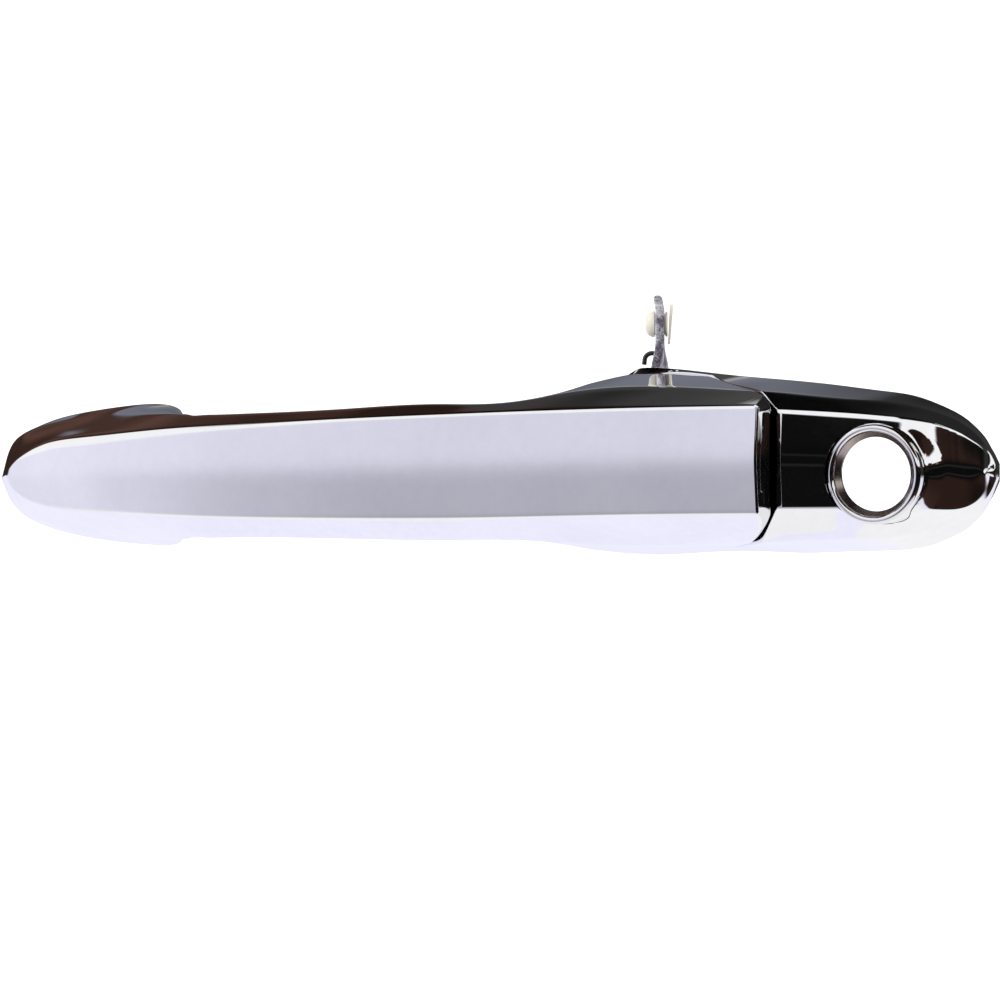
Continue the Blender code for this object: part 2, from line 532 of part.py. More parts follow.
# ---------------------------------------------------------------- the release lever and its bracket
def make_bracket():
    back = BRACKET_Y + BRACKET_THICK
    bracket = box("lever_bracket", (147, BRACKET_Y, -17), (196, back, 18), BLACK)
    slot(bracket, "bracket_window", (155.4, 0, -14.8), (176, 12, 7.4))
    for name, low, high in (("left_ear", 149.2, 151.8), ("right_ear", 165.6, 168.2)):
        cut(bracket, box(name, (low, back - 1.0, 8.0), (high, LEVER_Y + 5.5, 19.5), None, CUTTERS), "UNION")
    drill(bracket, "lever_pin_hole", (158.7, LEVER_Y, LEVER_Z), PIN_R + PLAY, 40.0, "X", 20)
    for number, (s, z) in enumerate(BOSS_PLACES, 1):
        drill(bracket, f"bracket_screw_hole_{number}", (s, BRACKET_Y, z), 2.3, 12.0, "Y", 16)


def headed_pin(name, centre, length, axis, low_head=3.6):
    """Pin centred on a point, with a flat head beyond its negative end."""
    pin = cylinder(name, centre, PIN_R, length, axis, ZINC, sides=32)
    shift = -length / 2 - 0.5
    place_head = {"X": (shift, 0, 0), "Z": (0, 0, shift)}[axis]
    head = [c + d for c, d in zip(centre, place_head)]
    cut(pin, cylinder(f"{name}_head", head, low_head, 1.2, axis, None, CUTTERS, 24), "UNION")


def retaining_ring(name, centre, axis):
    ring = turned(name, centre, axis, [(PIN_R + 0.25, 0.4), (4.6, 0.4), (4.6, -0.4), (PIN_R + 0.25, -0.4)],
                  SPRING, 24)
    low = [c - 1.3 for c in centre]
    high = [c + 1.3 for c in centre]
    low[1] = centre[1]
    high[1] = centre[1] + 6
    slot(ring, f"{name}_mouth", low, high)


def make_lever_hinge():
    headed_pin("lever_pin", (158.7, LEVER_Y, LEVER_Z), 21.2, "X")
    retaining_ring("lever_pin_ring", (168.9, LEVER_Y, LEVER_Z), "X")
    turned("lever_bush", (LEVER_STATION, LEVER_Y, LEVER_Z), "X",
           [(PIN_R + RUNNING, 5.0), (3.9, 5.0), (3.9, -1.9), (PIN_R + RUNNING, -1.9)], BLACK, 32)


def upper_frame(along, out, z):
    """Point beside the lever's twisted upper arm: out along its normal, along its width."""
    c, s = math.cos(LEVER_TWIST), math.sin(LEVER_TWIST)
    return (LEVER_STATION + out * c - along * s, LEVER_Y + out * s + along * c, z)


def lever_half_width(z):
    if z < 9:
        return 1.9 + (FINGER_HALF - 1.9) * step(z, -14.6, -12.5)
    if z < 20:
        return max(math.sqrt(max(49.0 - (z - LEVER_Z) ** 2, 0)), FINGER_HALF)
    return (3.9 + 1.9 * step(z, 19.5, 26)) * (1 - 0.55 * step(z, 37.2, 39.6))


def make_lever():
    heights = [-14.6, -14.0, -12.5, 4, 7.6, 8.3, 9.5, 11.5, 14, 16.5, 18.5, 19.6, 20.2, 21.5, 23, 24.5,
               26, 28, 31, 35, 37, 38.2, 39, 39.6]
    rings = []
    for z in heights:
        twist = LEVER_TWIST * step(z, 17.5, 29)
        c, s = math.cos(twist), math.sin(twist)
        w = lever_half_width(z)
        lean = -0.5 * step(z, 35.5, 39.6)
        half = LEVER_THICK / 2
        ring = []
        for out, along in ((-half, -w + 0.4), (-half + 0.4, -w), (half - 0.4, -w), (half, -w + 0.4),
                           (half, w - 0.4), (half - 0.4, w), (-half + 0.4, w), (-half, w - 0.4)):
            out += lean
            ring.append(place(LEVER_STATION + out * c - along * s, LEVER_Y + out * s + along * c, z))
        rings.append(ring)
    lever = loft("release_lever", rings, ZINC)
    drill(lever, "lever_bush_hole", (LEVER_STATION, LEVER_Y, LEVER_Z), 3.9 + PLAY, 8.0, "X", 28)
    cut(lever, cylinder("rod_clip_hole", upper_frame(0, 0, CLIP_Z), CLIP_R + RUNNING, 8.0, "X", None, CUTTERS,
                        28, turn=Matrix.Rotation(LEVER_TWIST, 4, "Z") @ TURN["X"]))


def make_rod_clip():
    """Plastic clip that turns in the lever's hole, and its latch that closes over the latch rod."""
    turn = Matrix.Rotation(LEVER_TWIST, 4, "Z") @ TURN["X"]
    clip = cylinder("rod_clip", upper_frame(0, -0.75, CLIP_Z), CLIP_R, 4.5, "X", IVORY, sides=28, turn=turn)
    cut(clip, cylinder("clip_head", upper_frame(0, -2.3, CLIP_Z), 3.0, 2.2, "X", None, CUTTERS, 24,
                       turn=turn), "UNION")
    cut(clip, cylinder("clip_collar", upper_frame(0, 1.5, CLIP_Z), 2.9, 0.5, "X", None, CUTTERS, 24,
                       turn=turn), "UNION")
    rings = []
    for z, inner, outer in LATCH_LEVELS:
        rings.append([place(*upper_frame(along, out, z))
                      for along, out in ((-2.5, inner), (-2.5, outer), (2.5, outer), (2.5, inner))])
    loft("rod_clip_latch", rings, IVORY)


def make_lever_spring():
    """Torsion spring on the pin: a leg on the bracket, the coil, and a hooked leg behind the lever."""
    coil_r, turns, first, last = 4.4, 3.25, 153.0, 156.6
    points = [(152.9, 9.2, 9.4), (152.9, 13.0, 9.55)]
    steps = 36
    for i in range(steps + 1):
        angle = math.radians(-90) + 2 * math.pi * turns * i / steps
        points.append((first + (last - first) * i / steps, LEVER_Y + coil_r * math.cos(angle),
                       LEVER_Z + coil_r * math.sin(angle)))
    points += [(156.7, 27.2, 18.0), (156.7, 27.8, 24.4), (156.4, 27.8, 25.6), (155.5, 27.7, 26.3),
               (154.4, 27.6, 26.2), (153.5, 27.5, 25.4), (153.2, 27.5, 23.7)]
    wire = bpy.data.curves.new("lever_spring", "CURVE")
    wire.dimensions = "3D"
    wire.bevel_depth = 0.55 * MM
    wire.bevel_resolution = 2
    wire.use_fill_caps = True
    path = wire.splines.new("POLY")
    path.points.add(len(points) - 1)
    for point, where in zip(path.points, points):
        point.co = (*place(*where), 1.0)
    spring = bpy.data.objects.new("lever_spring", wire)
    wire.materials.append(SPRING)
    HANDLE.objects.link(spring)


# ---------------------------------------------------------------- the fixed front unit
def make_front():
    stations = [16.5, 18, 22, 28, 34, 39, 41]
    seat = plate("front_base", rim_outline(TOP_RIM, LOW_RIM, stations, 2.0), -2.3, -1.3, BLACK)
    drill(seat, "front_base_hole", (FRONT_STUD[0], -2, FRONT_STUD[1]), STUD_R + PLAY, 4.0, "Y", 16)
    stations = [1.0, 1.6, 3, 6, 10, 16, 22, 30, 36, 41, 42.4]
    gasket = plate("front_gasket", rim_outline(TOP_RIM, LOW_RIM, stations, 0.9), -1.0, 0.0, RUBBER)
    slot(gasket, "front_gasket_opening", (3.4, -2, -8.6), (15.6, 1, 3.6))
    drill(gasket, "front_gasket_hole", (FRONT_STUD[0], -0.5, FRONT_STUD[1]), STUD_R + PLAY, 3.0, "Y", 16)
    front, back = PANEL + PLAY, PANEL + PLAY + 2.0
    bracket = box("front_bracket", (1.2, front, -10.6), (38.0, back, 4.7), DIECAST)
    slot(bracket, "front_bracket_window", (0.0, 0, PIVOT_Z - 5.2), (14.6, 6, PIVOT_Z + 5.2))
    for name, low, high in (("lower_ear", PIVOT_Z - 7.2, PIVOT_Z - 4.9),
                            ("upper_ear", PIVOT_Z + 4.9, PIVOT_Z + 7.2)):
        cut(bracket, box(name, (1.6, back - 1.0, low), (11.5, PIVOT_Y + 5.0, high), None, CUTTERS), "UNION")
    drill(bracket, "pivot_pin_hole", (PIVOT_STATION, PIVOT_Y, PIVOT_Z), PIN_R + PLAY, 30.0, "Z", 20)
    drill(bracket, "front_bracket_hole", (FRONT_STUD[0], front, FRONT_STUD[1]), STUD_R + PLAY, 8.0, "Y", 16)
    headed_pin("pivot_pin", (PIVOT_STATION, PIVOT_Y, PIVOT_Z), 18.0, "Z")
    retaining_ring("pivot_pin_ring", (PIVOT_STATION, PIVOT_Y, PIVOT_Z + 8.1), "Z")
    s, z = FRONT_STUD
    stud_set("front", s, z, -3.6, 13.5, back + PLAY)
    cut(bpy.data.objects["front_stud"], cylinder("front_stud_head", (s, -3.2, z), 6.0, 1.0, "Y", None,
                                                 CUTTERS, 20), "UNION")


def make_bumper():
    """Rubber stop on the flange that the grip's right foot closes on."""
    cylinder("grip_bumper", (177.5, FLANGE_Y + 0.15, -6), 3.0, 2.5, "Y", RUBBER, sides=20)
    drill(bpy.data.objects["rear_base"], "bumper_seat", (177.5, FLANGE_Y + 0.15, -6), 3.3, 3.1, "Y", 20)
    drill(bpy.data.objects["grip_back"], "bumper_room", (177.5, FLANGE_Y - 1.5, -6), 3.6, 2.0, "Y", 20)


make_grip()
make_grip_arms()
make_rear_base()
make_bezel()
make_rear_gasket()
make_rear_fasteners()
make_bracket()
make_lever_hinge()
make_lever()
make_rod_clip()
make_lever_spring()
make_front()
make_bumper()
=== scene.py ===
"""Looks of the car door handle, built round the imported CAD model. Metres, as the CAD."""
import math
import bpy
import bmesh
import numpy as np
from mathutils import Matrix, Vector


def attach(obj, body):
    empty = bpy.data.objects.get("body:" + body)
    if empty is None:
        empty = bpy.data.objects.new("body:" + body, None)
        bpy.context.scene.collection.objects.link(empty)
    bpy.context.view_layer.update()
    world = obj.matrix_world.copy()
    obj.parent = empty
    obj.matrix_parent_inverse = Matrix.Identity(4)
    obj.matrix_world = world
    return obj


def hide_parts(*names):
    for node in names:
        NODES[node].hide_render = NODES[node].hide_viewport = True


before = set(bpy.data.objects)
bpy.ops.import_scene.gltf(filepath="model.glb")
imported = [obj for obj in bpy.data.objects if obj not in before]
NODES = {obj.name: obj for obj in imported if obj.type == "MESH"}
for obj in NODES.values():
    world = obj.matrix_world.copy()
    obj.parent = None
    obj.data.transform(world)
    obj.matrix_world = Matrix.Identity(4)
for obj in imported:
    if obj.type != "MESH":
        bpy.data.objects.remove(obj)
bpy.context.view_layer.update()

# ---------------------------------------------------------------- driving dimensions (mm)
MM = 0.001
ORIGIN_STATION = 200.0      # station of x = 0
LENGTH = 252.0              # left tip of the grip to right tip of the cap
EDGE_DROP = 1.2             # how far the front's long edges lie behind its middle
GRIP_FOOT_Y = -2.6          # back of the grip's left foot
FLANGE_Y = -4.0             # front of the rear base where the grip's right foot rests
FOOT_GAP = 0.6              # right foot to flange
BASE_BACK_Y = -1.3          # back of the rear base
TUCK_STATION = 248.5        # from here to the tip the cap's back draws forward
TUCK_DEPTH = 3.6
SKIN_WALL = 2.2             # wall of the plated cover
PLAY = 0.3                  # gap between pieces that touch
RUNNING = 0.07              # gap between a pin and what turns on it
LIP_STATION = 213.5         # the cap's lip, next to the grip's end
LIP_Y = -36.5
RAMP_SLOPE = 0.917          # the cap's ramp under the grip's end, mm of station per mm of depth
GRIP_END = 211.0            # flat end of the grip

BORE_STATION = 234.0        # key hole
BORE_R = 8.0                # narrowest part of the bezel
CONE_R = 9.1                # bezel's cone where it meets the lip
BEZEL_R = 10.8
BEZEL_Y = -34.0             # front of the bezel's lip
FAIRING = 2.4               # width of the swelling that carries the cap up to the bezel

PIVOT_STATION, PIVOT_Y, PIVOT_Z = 6.0, 6.0, -2.5     # grip hinge, along Z
PIN_R = 2.5
PIVOT_ARM_HALF = 4.5        # half the height of the hinge arm
LEVER_STATION, LEVER_Y, LEVER_Z = 159.6, 22.0, 14.0     # lever hinge, along X
LEVER_THICK = 2.0
LEVER_TWIST = math.radians(23.0)
FINGER_HALF = 3.0           # half the width of the lever's lower arm
LEVER_FOOT_Z = -14.6
LEVER_CROWN_Z = 38.7        # from here up the plate's top is rounded
LEVER_TOP_Z = 39.6
LEVER_EYE_R = 7.0           # round middle of the lever, about its hinge
LEVER_BUSH_R = 3.9
BAR_Z = -6.0                # the bar that pulls the lever
BAR_R = 1.5
BUFFER_R = 2.6
BAR_FREE_PLAY = 0.9
CLIP_Z = 33.0               # rod clip's hole in the lever
CLIP_R = 2.4
# z of the latch's ends, each with its faces' distances from the lever's middle
LATCH_LEVELS = ((28.4, 1.85, 2.35), (37.6, 2.3, 3.1))

STUD_R = 3.0
NUT_ACROSS, NUT_HEIGHT = 10.0, 5.0
WASHER_R, WASHER_THICK = 6.0, 1.2
STUD_PLACES = ((203.0, 11.5), (203.0, -11.5))
BOSS_PLACES = ((189.5, 12.0), (189.5, -12.0))
BOSS_R = 4.2
BUMPER_PLACE = (177.5, -6.0)
FRONT_STUD = (25.0, -2.0)
GRIP_SCREWS = ((37.0, -3.0, GRIP_FOOT_Y), (177.5, 9.0, FLANGE_Y - FOOT_GAP))
BLADE, BLADE_Z = (168.0, 171.0), (-12.5, -4.0)      # the pull arm's blade
PANEL = 2.1                 # door skin with its stiffener, between gasket and washers
BRACKET_Y = 5.0             # front of the lever bracket's plate
BRACKET_THICK = 2.5


# ---------------------------------------------------------------- curves along the handle
def curve(points, root=None, side=1):
    """Smooth function through (station, value) points. A root gives it a rounded end there."""
    def spread(t):
        if root is None:
            return t
        return side * np.sqrt(np.maximum(side * (t - root), 0.0))

    x = spread(np.array([p[0] for p in points], float))
    v = np.array([p[1] for p in points], float)
    order = np.argsort(x)
    x, v = x[order], v[order]
    n = len(x)
    h = np.diff(x)
    a = np.zeros((n, n))
    b = np.zeros(n)
    a[0, 0] = a[-1, -1] = 1.0
    for i in range(1, n - 1):
        a[i, i - 1:i + 2] = h[i - 1], 2 * (h[i - 1] + h[i]), h[i]
        b[i] = 6 * ((v[i + 1] - v[i]) / h[i] - (v[i] - v[i - 1]) / h[i - 1])
    m = np.linalg.solve(a, b)

    def value(t):
        u = min(max(float(spread(t)), x[0]), x[-1])
        i = min(max(int(np.searchsorted(x, u)) - 1, 0), n - 2)
        d, w = h[i], u - x[i]
        bend = (m[i] * (d - w) ** 3 + m[i + 1] * w ** 3) / (6 * d)
        return bend + (v[i] / d - m[i] * d / 6) * (d - w) + (v[i + 1] / d - m[i + 1] * d / 6) * w

    return value


def step(t, a, b):
    u = min(max((t - a) / (b - a), 0.0), 1.0)
    return u * u * (3 - 2 * u)


# the grip: y of the front, then z of the long edges, of the shoulders behind them and of the foot's rim
FRONT = curve([
    (0, -4), (2, -8.2), (6.9, -14.2), (13.2, -18.8), (21.8, -23.0), (36.7, -27.9), (50, -31.0),
    (69, -34.6), (89, -37.5), (110, -39.8), (131, -41.4), (150, -42.5), (185, -43.5), (212, -43.8)
], 0)
TOP_EDGE = curve([
    (6.5, -2.1), (13.2, 2.5), (21.8, 5.4), (36.7, 7.1), (50, 8.2), (69, 9.5), (89, 10.6),
    (110, 11.7), (131, 12.6), (149, 13.3), (164, 13.8), (185, 14.4), (212, 14.9)
], 6.5)
LOW_EDGE = curve([
    (6.5, -2.6), (9.8, -6.0), (16.3, -8.3), (27, -9.9), (50, -10.7), (69, -11.0), (110, -10.9),
    (149, -10.2), (185, -9.2), (212, -8.7)
], 6.5)
SHOULDER_Y = curve([
    (0, -3.5), (3, -5), (12, -7.5), (25, -9), (38, -11), (48, -15.5), (58, -21.5), (68, -25),
    (106, -31), (130, -33), (146, -33.2), (158, -30.5), (170, -28), (185, -27), (212, -27)
])
TOP_SHOULDER = curve([
    (0, -3.4), (3, 5.0), (8, 7.9), (16.7, 10), (28.7, 11.5), (38, 12.5), (46, 12.9), (55, 12.8),
    (65, 12.6), (78, 12.9), (106, 14.1), (130, 15.2), (146, 15.5), (156, 16.9), (168, 18.4),
    (187, 18.6), (212, 17.3)
], 0)
LOW_SHOULDER = curve([
    (0, -3.6), (3, -9.2), (8, -12), (16.7, -14.3), (28.7, -15.8), (40, -16.6), (55, -17.1),
    (65, -16.7), (106, -16.1), (130, -16.1), (146, -15.8), (158, -16.0), (170, -16.4), (187, -16.2),
    (212, -14.6)
], 0)
TOP_RIM = curve([
    (0, -3.4), (0.35, 1.0), (0.9, 2.9), (2.7, 5.9), (7.6, 8.9), (13.8, 11.4), (22.8, 13.4),
    (35, 14.9), (40, 15.1), (44, 14.8), (48, 14.2), (53, 13.5), (58, 13.1), (64, 12.8), (100, 15.5),
    (150, 19.5), (160, 21.6), (166, 22.3), (180, 21.8), (195, 20.8), (212, 19.2)
], 0)
LOW_RIM = curve([
    (0, -3.6), (0.3, -6.6), (1.5, -9.9), (4.4, -12.8), (9.4, -15.0), (16.8, -16.9), (28.9, -18.7),
    (39, -19.3), (46, -19.2), (52, -18.7), (60, -17.6), (145, -19.0), (160, -19.4), (166, -19.5),
    (177, -19.1), (190, -18.5), (212, -18.1)
], 0)
STRAP_BACK = curve([(60, -23), (80, -25), (106, -27.5), (130, -29), (150, -29.5)])
# the rounded outline of the grip's end
END_TOP = curve([
    (190, 21.0), (197, 19.5), (204.2, 17.9), (208.6, 16.2), (210.6, 14.6), (211, 13.9)
], 211, -1)
END_LOW = curve([
    (186, -19.0), (193, -17.8), (201.7, -15.6), (208, -12), (210.6, -9), (211, -7.6)
], 211, -1)

# the cap, in the same order
CAP_FRONT = curve([
    (213.5, -36.5), (222, -35.4), (230, -34.2), (237, -32.7), (241, -31.3), (244, -29.5),
    (246, -27.2), (248, -23.3), (249.5, -18.5), (250.6, -13.4), (251.4, -9.6), (252, -6.2)
], 252, -1)
CAP_TOP_EDGE = curve([
    (213.5, 13.9), (231, 13.0), (237, 12.5), (241.4, 12.0), (243.6, 11.5), (245.6, 10.8),
    (247.2, 9.8), (248.5, 8.6), (249.4, 7.3), (250.2, 5.9), (250.6, 4.6), (250.85, 3.1),
    (251.05, 1.2)
], 251.2, -1)
CAP_LOW_EDGE = curve([
    (213.5, -7.7), (240, -7.6), (245.9, -7.8), (248.3, -7.6), (249.7, -6.4), (250.6, -4.1),
    (251, -2.2), (251.2, -0.7)
], 251.4, -1)
# how far the cap's long edges lie behind its middle
CAP_DROP = curve([
    (213.5, 1.2), (230, 1.2), (238, 1.2), (243, 1.6), (246, 2.4), (248, 3.3), (249.5, 4.0),
    (250.6, 3.6), (251.4, 2.0), (252, 0)
])
CAP_SHOULDER_Y = curve([
    (163, -3.0), (178, -6.0), (184, -10), (192, -18), (200, -26), (212, -28), (225, -26),
    (236, -20), (245, -12), (250, -8), (252, -5.6)
])
CAP_TOP_SHOULDER = curve([
    (163, 21.0), (178, 21.6), (187, 19.6), (200, 18.2), (212, 17.3), (223, 16.3), (232.5, 15.4),
    (240, 13.6), (245, 11.5), (248, 9.2), (250, 6.6), (251, 4.4), (251.6, 2.6), (252, 0.1)
], 252, -1)
CAP_LOW_SHOULDER = curve([
    (163, -18.6), (178, -18.4), (187, -17.2), (200, -15.8), (212, -14.8), (227, -14.2),
    (236, -13.4), (243, -11.4), (248, -9.0), (250, -6.9), (251, -4.6), (251.6, -2.6), (252, -0.9)
], 252, -1)
CAP_TOP_RIM = curve([
    (162.5, 21.8), (164.5, 22.9), (167, 23.2), (178, 22.4), (190, 21.2), (200, 20.4), (212, 19.3),
    (223, 18.0), (231, 16.9), (237.4, 14.8), (243.5, 11.7), (246.3, 9.3), (248, 7.4), (249.2, 5.4),
    (250.2, 3.4), (251.2, 1.6), (252, 0.1)
], 252, -1)
CAP_LOW_RIM = curve([
    (162.5, -18.8), (166, -19.2), (178, -18.8), (197, -18.2), (205, -18.4), (213, -18.1),
    (227, -17.5), (234.7, -16.5), (240.6, -14.2), (243.6, -12.6), (246, -10.5), (248, -8.2),
    (249.4, -5.4), (250.4, -3.2), (251.2, -1.9), (252, -0.9)
], 252, -1)


def ramp(s):
    return LIP_Y + (LIP_STATION - s) / RAMP_SLOPE


def grip_back_y(s):
    """Back of the grip: left foot, finger ramp, strap, finger ramp, right foot, then the cap's ramp."""
    strap = STRAP_BACK(s)
    right_foot = FLANGE_Y - FOOT_GAP
    if s < 100:
        return GRIP_FOOT_Y + (strap - GRIP_FOOT_Y) * step(s, 43.5, 64)
    return min(right_foot + (strap - right_foot) * (1 - step(s, 148, 166)), ramp(s) - 1.0)


def cap_back_y(s):
    """Back of the rear base, which draws forward at the cap's tip."""
    share = min(max((s - TUCK_STATION) / (LENGTH - TUCK_STATION), 0.0), 1.0)
    return BASE_BACK_Y - TUCK_DEPTH * (1 - math.sqrt(1 - share ** 2))


def skin_z(y, edge, shoulder, rim):
    """z of the outer skin at depth y, from the long edge over the shoulder to the rim."""
    if y < shoulder[0]:
        return edge[1] + (shoulder[1] - edge[1]) * (y - edge[0]) / (shoulder[0] - edge[0])
    return shoulder[1] + (rim[1] - shoulder[1]) * (y - shoulder[0]) / (rim[0] - shoulder[0])


def closed_spline(control, count):
    """Points along the closed uniform cubic B-spline of a control polygon."""
    m = len(control)
    t = np.arange(count) * m / count
    i = np.floor(t).astype(int)
    u = (t - i)[:, None]
    c = [control[(i + k - 1) % m] for k in range(4)]
    return ((1 - u) ** 3 * c[0] + (3 * u ** 3 - 6 * u ** 2 + 4) * c[1]
            + (-3 * u ** 3 + 3 * u ** 2 + 3 * u + 1) * c[2] + u ** 3 * c[3]) / 6


def rounded(corners, count):
    """Closed section from corners (y, z, size of its rounding)."""
    points = [np.array(c[:2], float) for c in corners]
    control = []
    for i, p in enumerate(points):
        before, after = points[i - 1], points[(i + 1) % len(points)]
        for q, own in ((before, False), (after, True)):
            reach = max(np.linalg.norm(q - p), 1e-9)
            if own:
                control.append(p)
            control.append(p + (q - p) * min(corners[i][2], 0.4 * reach) / reach)
    return closed_spline(np.array(control), count)


def grip_section(s, count, wall=0.0, back_offset=0.0):
    """(y, z) round the grip at a station, or round a surface wall millimetres inside it."""
    front = FRONT(s) + wall
    drop = EDGE_DROP * step(s, 2, 20) + 0.15
    middle = -2.35 - max(6.5 - s, 0) * 0.18
    top, low = (TOP_EDGE(s), LOW_EDGE(s)) if s > 6.5 else (middle + 0.25, middle - 0.25)
    back = grip_back_y(s) + back_offset
    in_strap = step(s, 50, 62) * (1 - step(s, 149, 159))
    top_round = 1.0 + 1.9 * (1 - step(s, 10, 110))
    low_round = 1.0 + 1.5 * (1 - step(s, 5, 60))
    half = []
    for side, edge_z, shoulder_z, rim_z, end in ((1, top, TOP_SHOULDER(s), TOP_RIM(s), END_TOP),
                                                 (-1, low, LOW_SHOULDER(s), LOW_RIM(s), END_LOW)):
        edge = (front + drop, edge_z - side * wall)
        shoulder = (SHOULDER_Y(s), shoulder_z - side * wall)
        rim = (-1.0, rim_z - side * wall)
        y2 = min(shoulder[0], back - 1.0)
        z2 = skin_z(y2, edge, shoulder, rim)
        z3 = skin_z(back, edge, shoulder, rim)
        z3 = z3 * (1 - in_strap) + (shoulder[1] - side * 2.4) * in_strap
        limit = side * end(s) - wall if s > 186 else 99.0
        if side * z3 > limit:
            z3 = z2 = side * limit
            ys = np.linspace(edge[0], back, 120)
            zs = np.array([side * skin_z(y, edge, shoulder, rim) for y in ys])
            y2 = min(max(float(np.interp(limit, zs, ys)), edge[0] + 0.3), back - 0.3)
        half.append((edge, (y2, z2), (back, z3)))
    (e1, h1, b1), (e2, h2, b2) = half
    return rounded([(*e1, top_round), (*h1, 3.5), (*b1, 1.2), (*b2, 1.2), (*h2, 3.5),
                    (*e2, low_round), (front, (e1[1] + e2[1]) / 2, 6.0)], count)


def cap_section(s, count, wall=0.0, back_offset=0.0):
    """(y, z) round the rear base at a station: flange, ramp, then cap."""
    if s >= LIP_STATION:
        front = CAP_FRONT(s) + wall
        edge_y = front + CAP_DROP(s) + 0.15
        top, low = CAP_TOP_EDGE(s), CAP_LOW_EDGE(s)
    else:
        front = min(ramp(s), FLANGE_Y) + wall
        edge_y = CAP_FRONT(LIP_STATION) + EDGE_DROP + 0.15
        top, low = CAP_TOP_EDGE(LIP_STATION), CAP_LOW_EDGE(LIP_STATION)
    half = []
    for side, edge_z, shoulder_z, rim_z in ((1, top, CAP_TOP_SHOULDER(s), CAP_TOP_RIM(s)),
                                            (-1, low, CAP_LOW_SHOULDER(s), CAP_LOW_RIM(s))):
        edge = (edge_y, edge_z - side * wall)
        shoulder = (max(CAP_SHOULDER_Y(s), edge_y + 0.5), shoulder_z - side * wall)
        rim = (cap_back_y(s) + back_offset, rim_z - side * wall)
        y1 = max(front, edge_y)
        y2 = max(shoulder[0], y1 + 0.8)
        half.append((*((y, skin_z(y, edge, shoulder, rim)) for y in (y1, y2)), rim))
    (e1, h1, b1), (e2, h2, b2) = half
    section = rounded([(*e1, 0.8), (*h1, 3.5), (*b1, 0.8), (*b2, 0.8), (*h2, 3.5), (*e2, 0.8),
                       (front, (e1[1] + e2[1]) / 2, 5.0)], count)
    return section if wall else faired(s, section)


def faired(s, section):
    """The cap's section with the swelling round the bezel, where the cap falls away from it."""
    made = np.array(section)
    target = BEZEL_Y + 3.2
    for point in made:
        away = math.hypot(s - BORE_STATION, point[1]) - BEZEL_R
        share = (1 - step(away, 0, FAIRING)) * (1 - step(abs(point[1]), 6.5, 10.5)) * step(s, 228, 238)
        if point[0] > target:
            point[0] += (target - point[0]) * share
    return made


# ---------------------------------------------------------------- materials
class Graph:
    """Short names for the nodes of one node tree."""
    def __init__(self, tree):
        self.tree = tree

    def add(self, kind, inputs=None, **settings):
        made = self.tree.nodes.new(kind)
        for key, value in settings.items():
            setattr(made, key, value)
        for key, value in (inputs or {}).items():
            if isinstance(value, bpy.types.NodeSocket):
                self.tree.links.new(value, made.inputs[key])
            else:
                made.inputs[key].default_value = value
        return made

    def math(self, operation, a, b=0.0):
        return self.add("ShaderNodeMath", {0: a, 1: b}, operation=operation).outputs[0]

    def noise(self, vector, scale, detail=3.0, roughness=0.5):
        return self.add("ShaderNodeTexNoise", {"Vector": vector, "Scale": scale, "Detail": detail,
                                               "Roughness": roughness}).outputs["Fac"]

    def spread(self, value, low, high, to_low, to_high, smooth=False):
        made = self.add("ShaderNodeMapRange", {"Value": value, "From Min": low, "From Max": high,
                                               "To Min": to_low, "To Max": to_high},
                        interpolation_type="SMOOTHSTEP" if smooth else "LINEAR")
        return made.outputs["Result"]

    def mix(self, factor, a, b):
        a, b = (c if isinstance(c, bpy.types.NodeSocket) else (*c, 1.0) for c in (a, b))
        return self.add("ShaderNodeMix", {0: factor, 6: a, 7: b}, data_type="RGBA").outputs[2]


def look(name, dark, light, metallic, rough, grain, bump, speckle=0.0, blur=0.15):
    """Material with two mottled colours, uneven roughness and a fine surface grain.

    Grain is features per metre, bump its height in metres, speckle the strength of its dark spots and
    blur half the range of tones over which one colour turns into the other.
    """
    made = bpy.data.materials.new(name)
    made.use_nodes = True
    g = Graph(made.node_tree)
    shader = made.node_tree.nodes["Principled BSDF"]
    where = g.add("ShaderNodeTexCoord").outputs["Object"]
    coarse = g.noise(where, grain * 0.12, 4.0)
    fine = g.noise(where, grain, 5.0, 0.6)
    tone = g.math("ADD", g.math("MULTIPLY", coarse, 0.6), g.math("MULTIPLY", fine, 0.4))
    colour = g.mix(g.spread(tone, 0.5 - blur, 0.5 + blur, 0.0, 1.0), dark, light)
    if speckle:
        cells = g.add("ShaderNodeTexVoronoi", {"Vector": where, "Scale": grain * 1.4})
        mark = g.math("MULTIPLY", g.spread(cells.outputs["Distance"], 0.12, 0.3, 1.0, 0.0),
                      g.spread(coarse, 0.45, 0.6, 0.0, speckle))
        colour = g.mix(mark, colour, [0.35 * c for c in dark])
    made.node_tree.links.new(colour, shader.inputs["Base Color"])
    made.node_tree.links.new(g.spread(tone, 0.3, 0.7, *rough), shader.inputs["Roughness"])
    shader.inputs["Metallic"].default_value = metallic
    if bump:
        height = g.add("ShaderNodeBump", {"Height": fine, "Distance": bump, "Strength": 0.6})
        made.node_tree.links.new(height.outputs["Normal"], shader.inputs["Normal"])
    return made


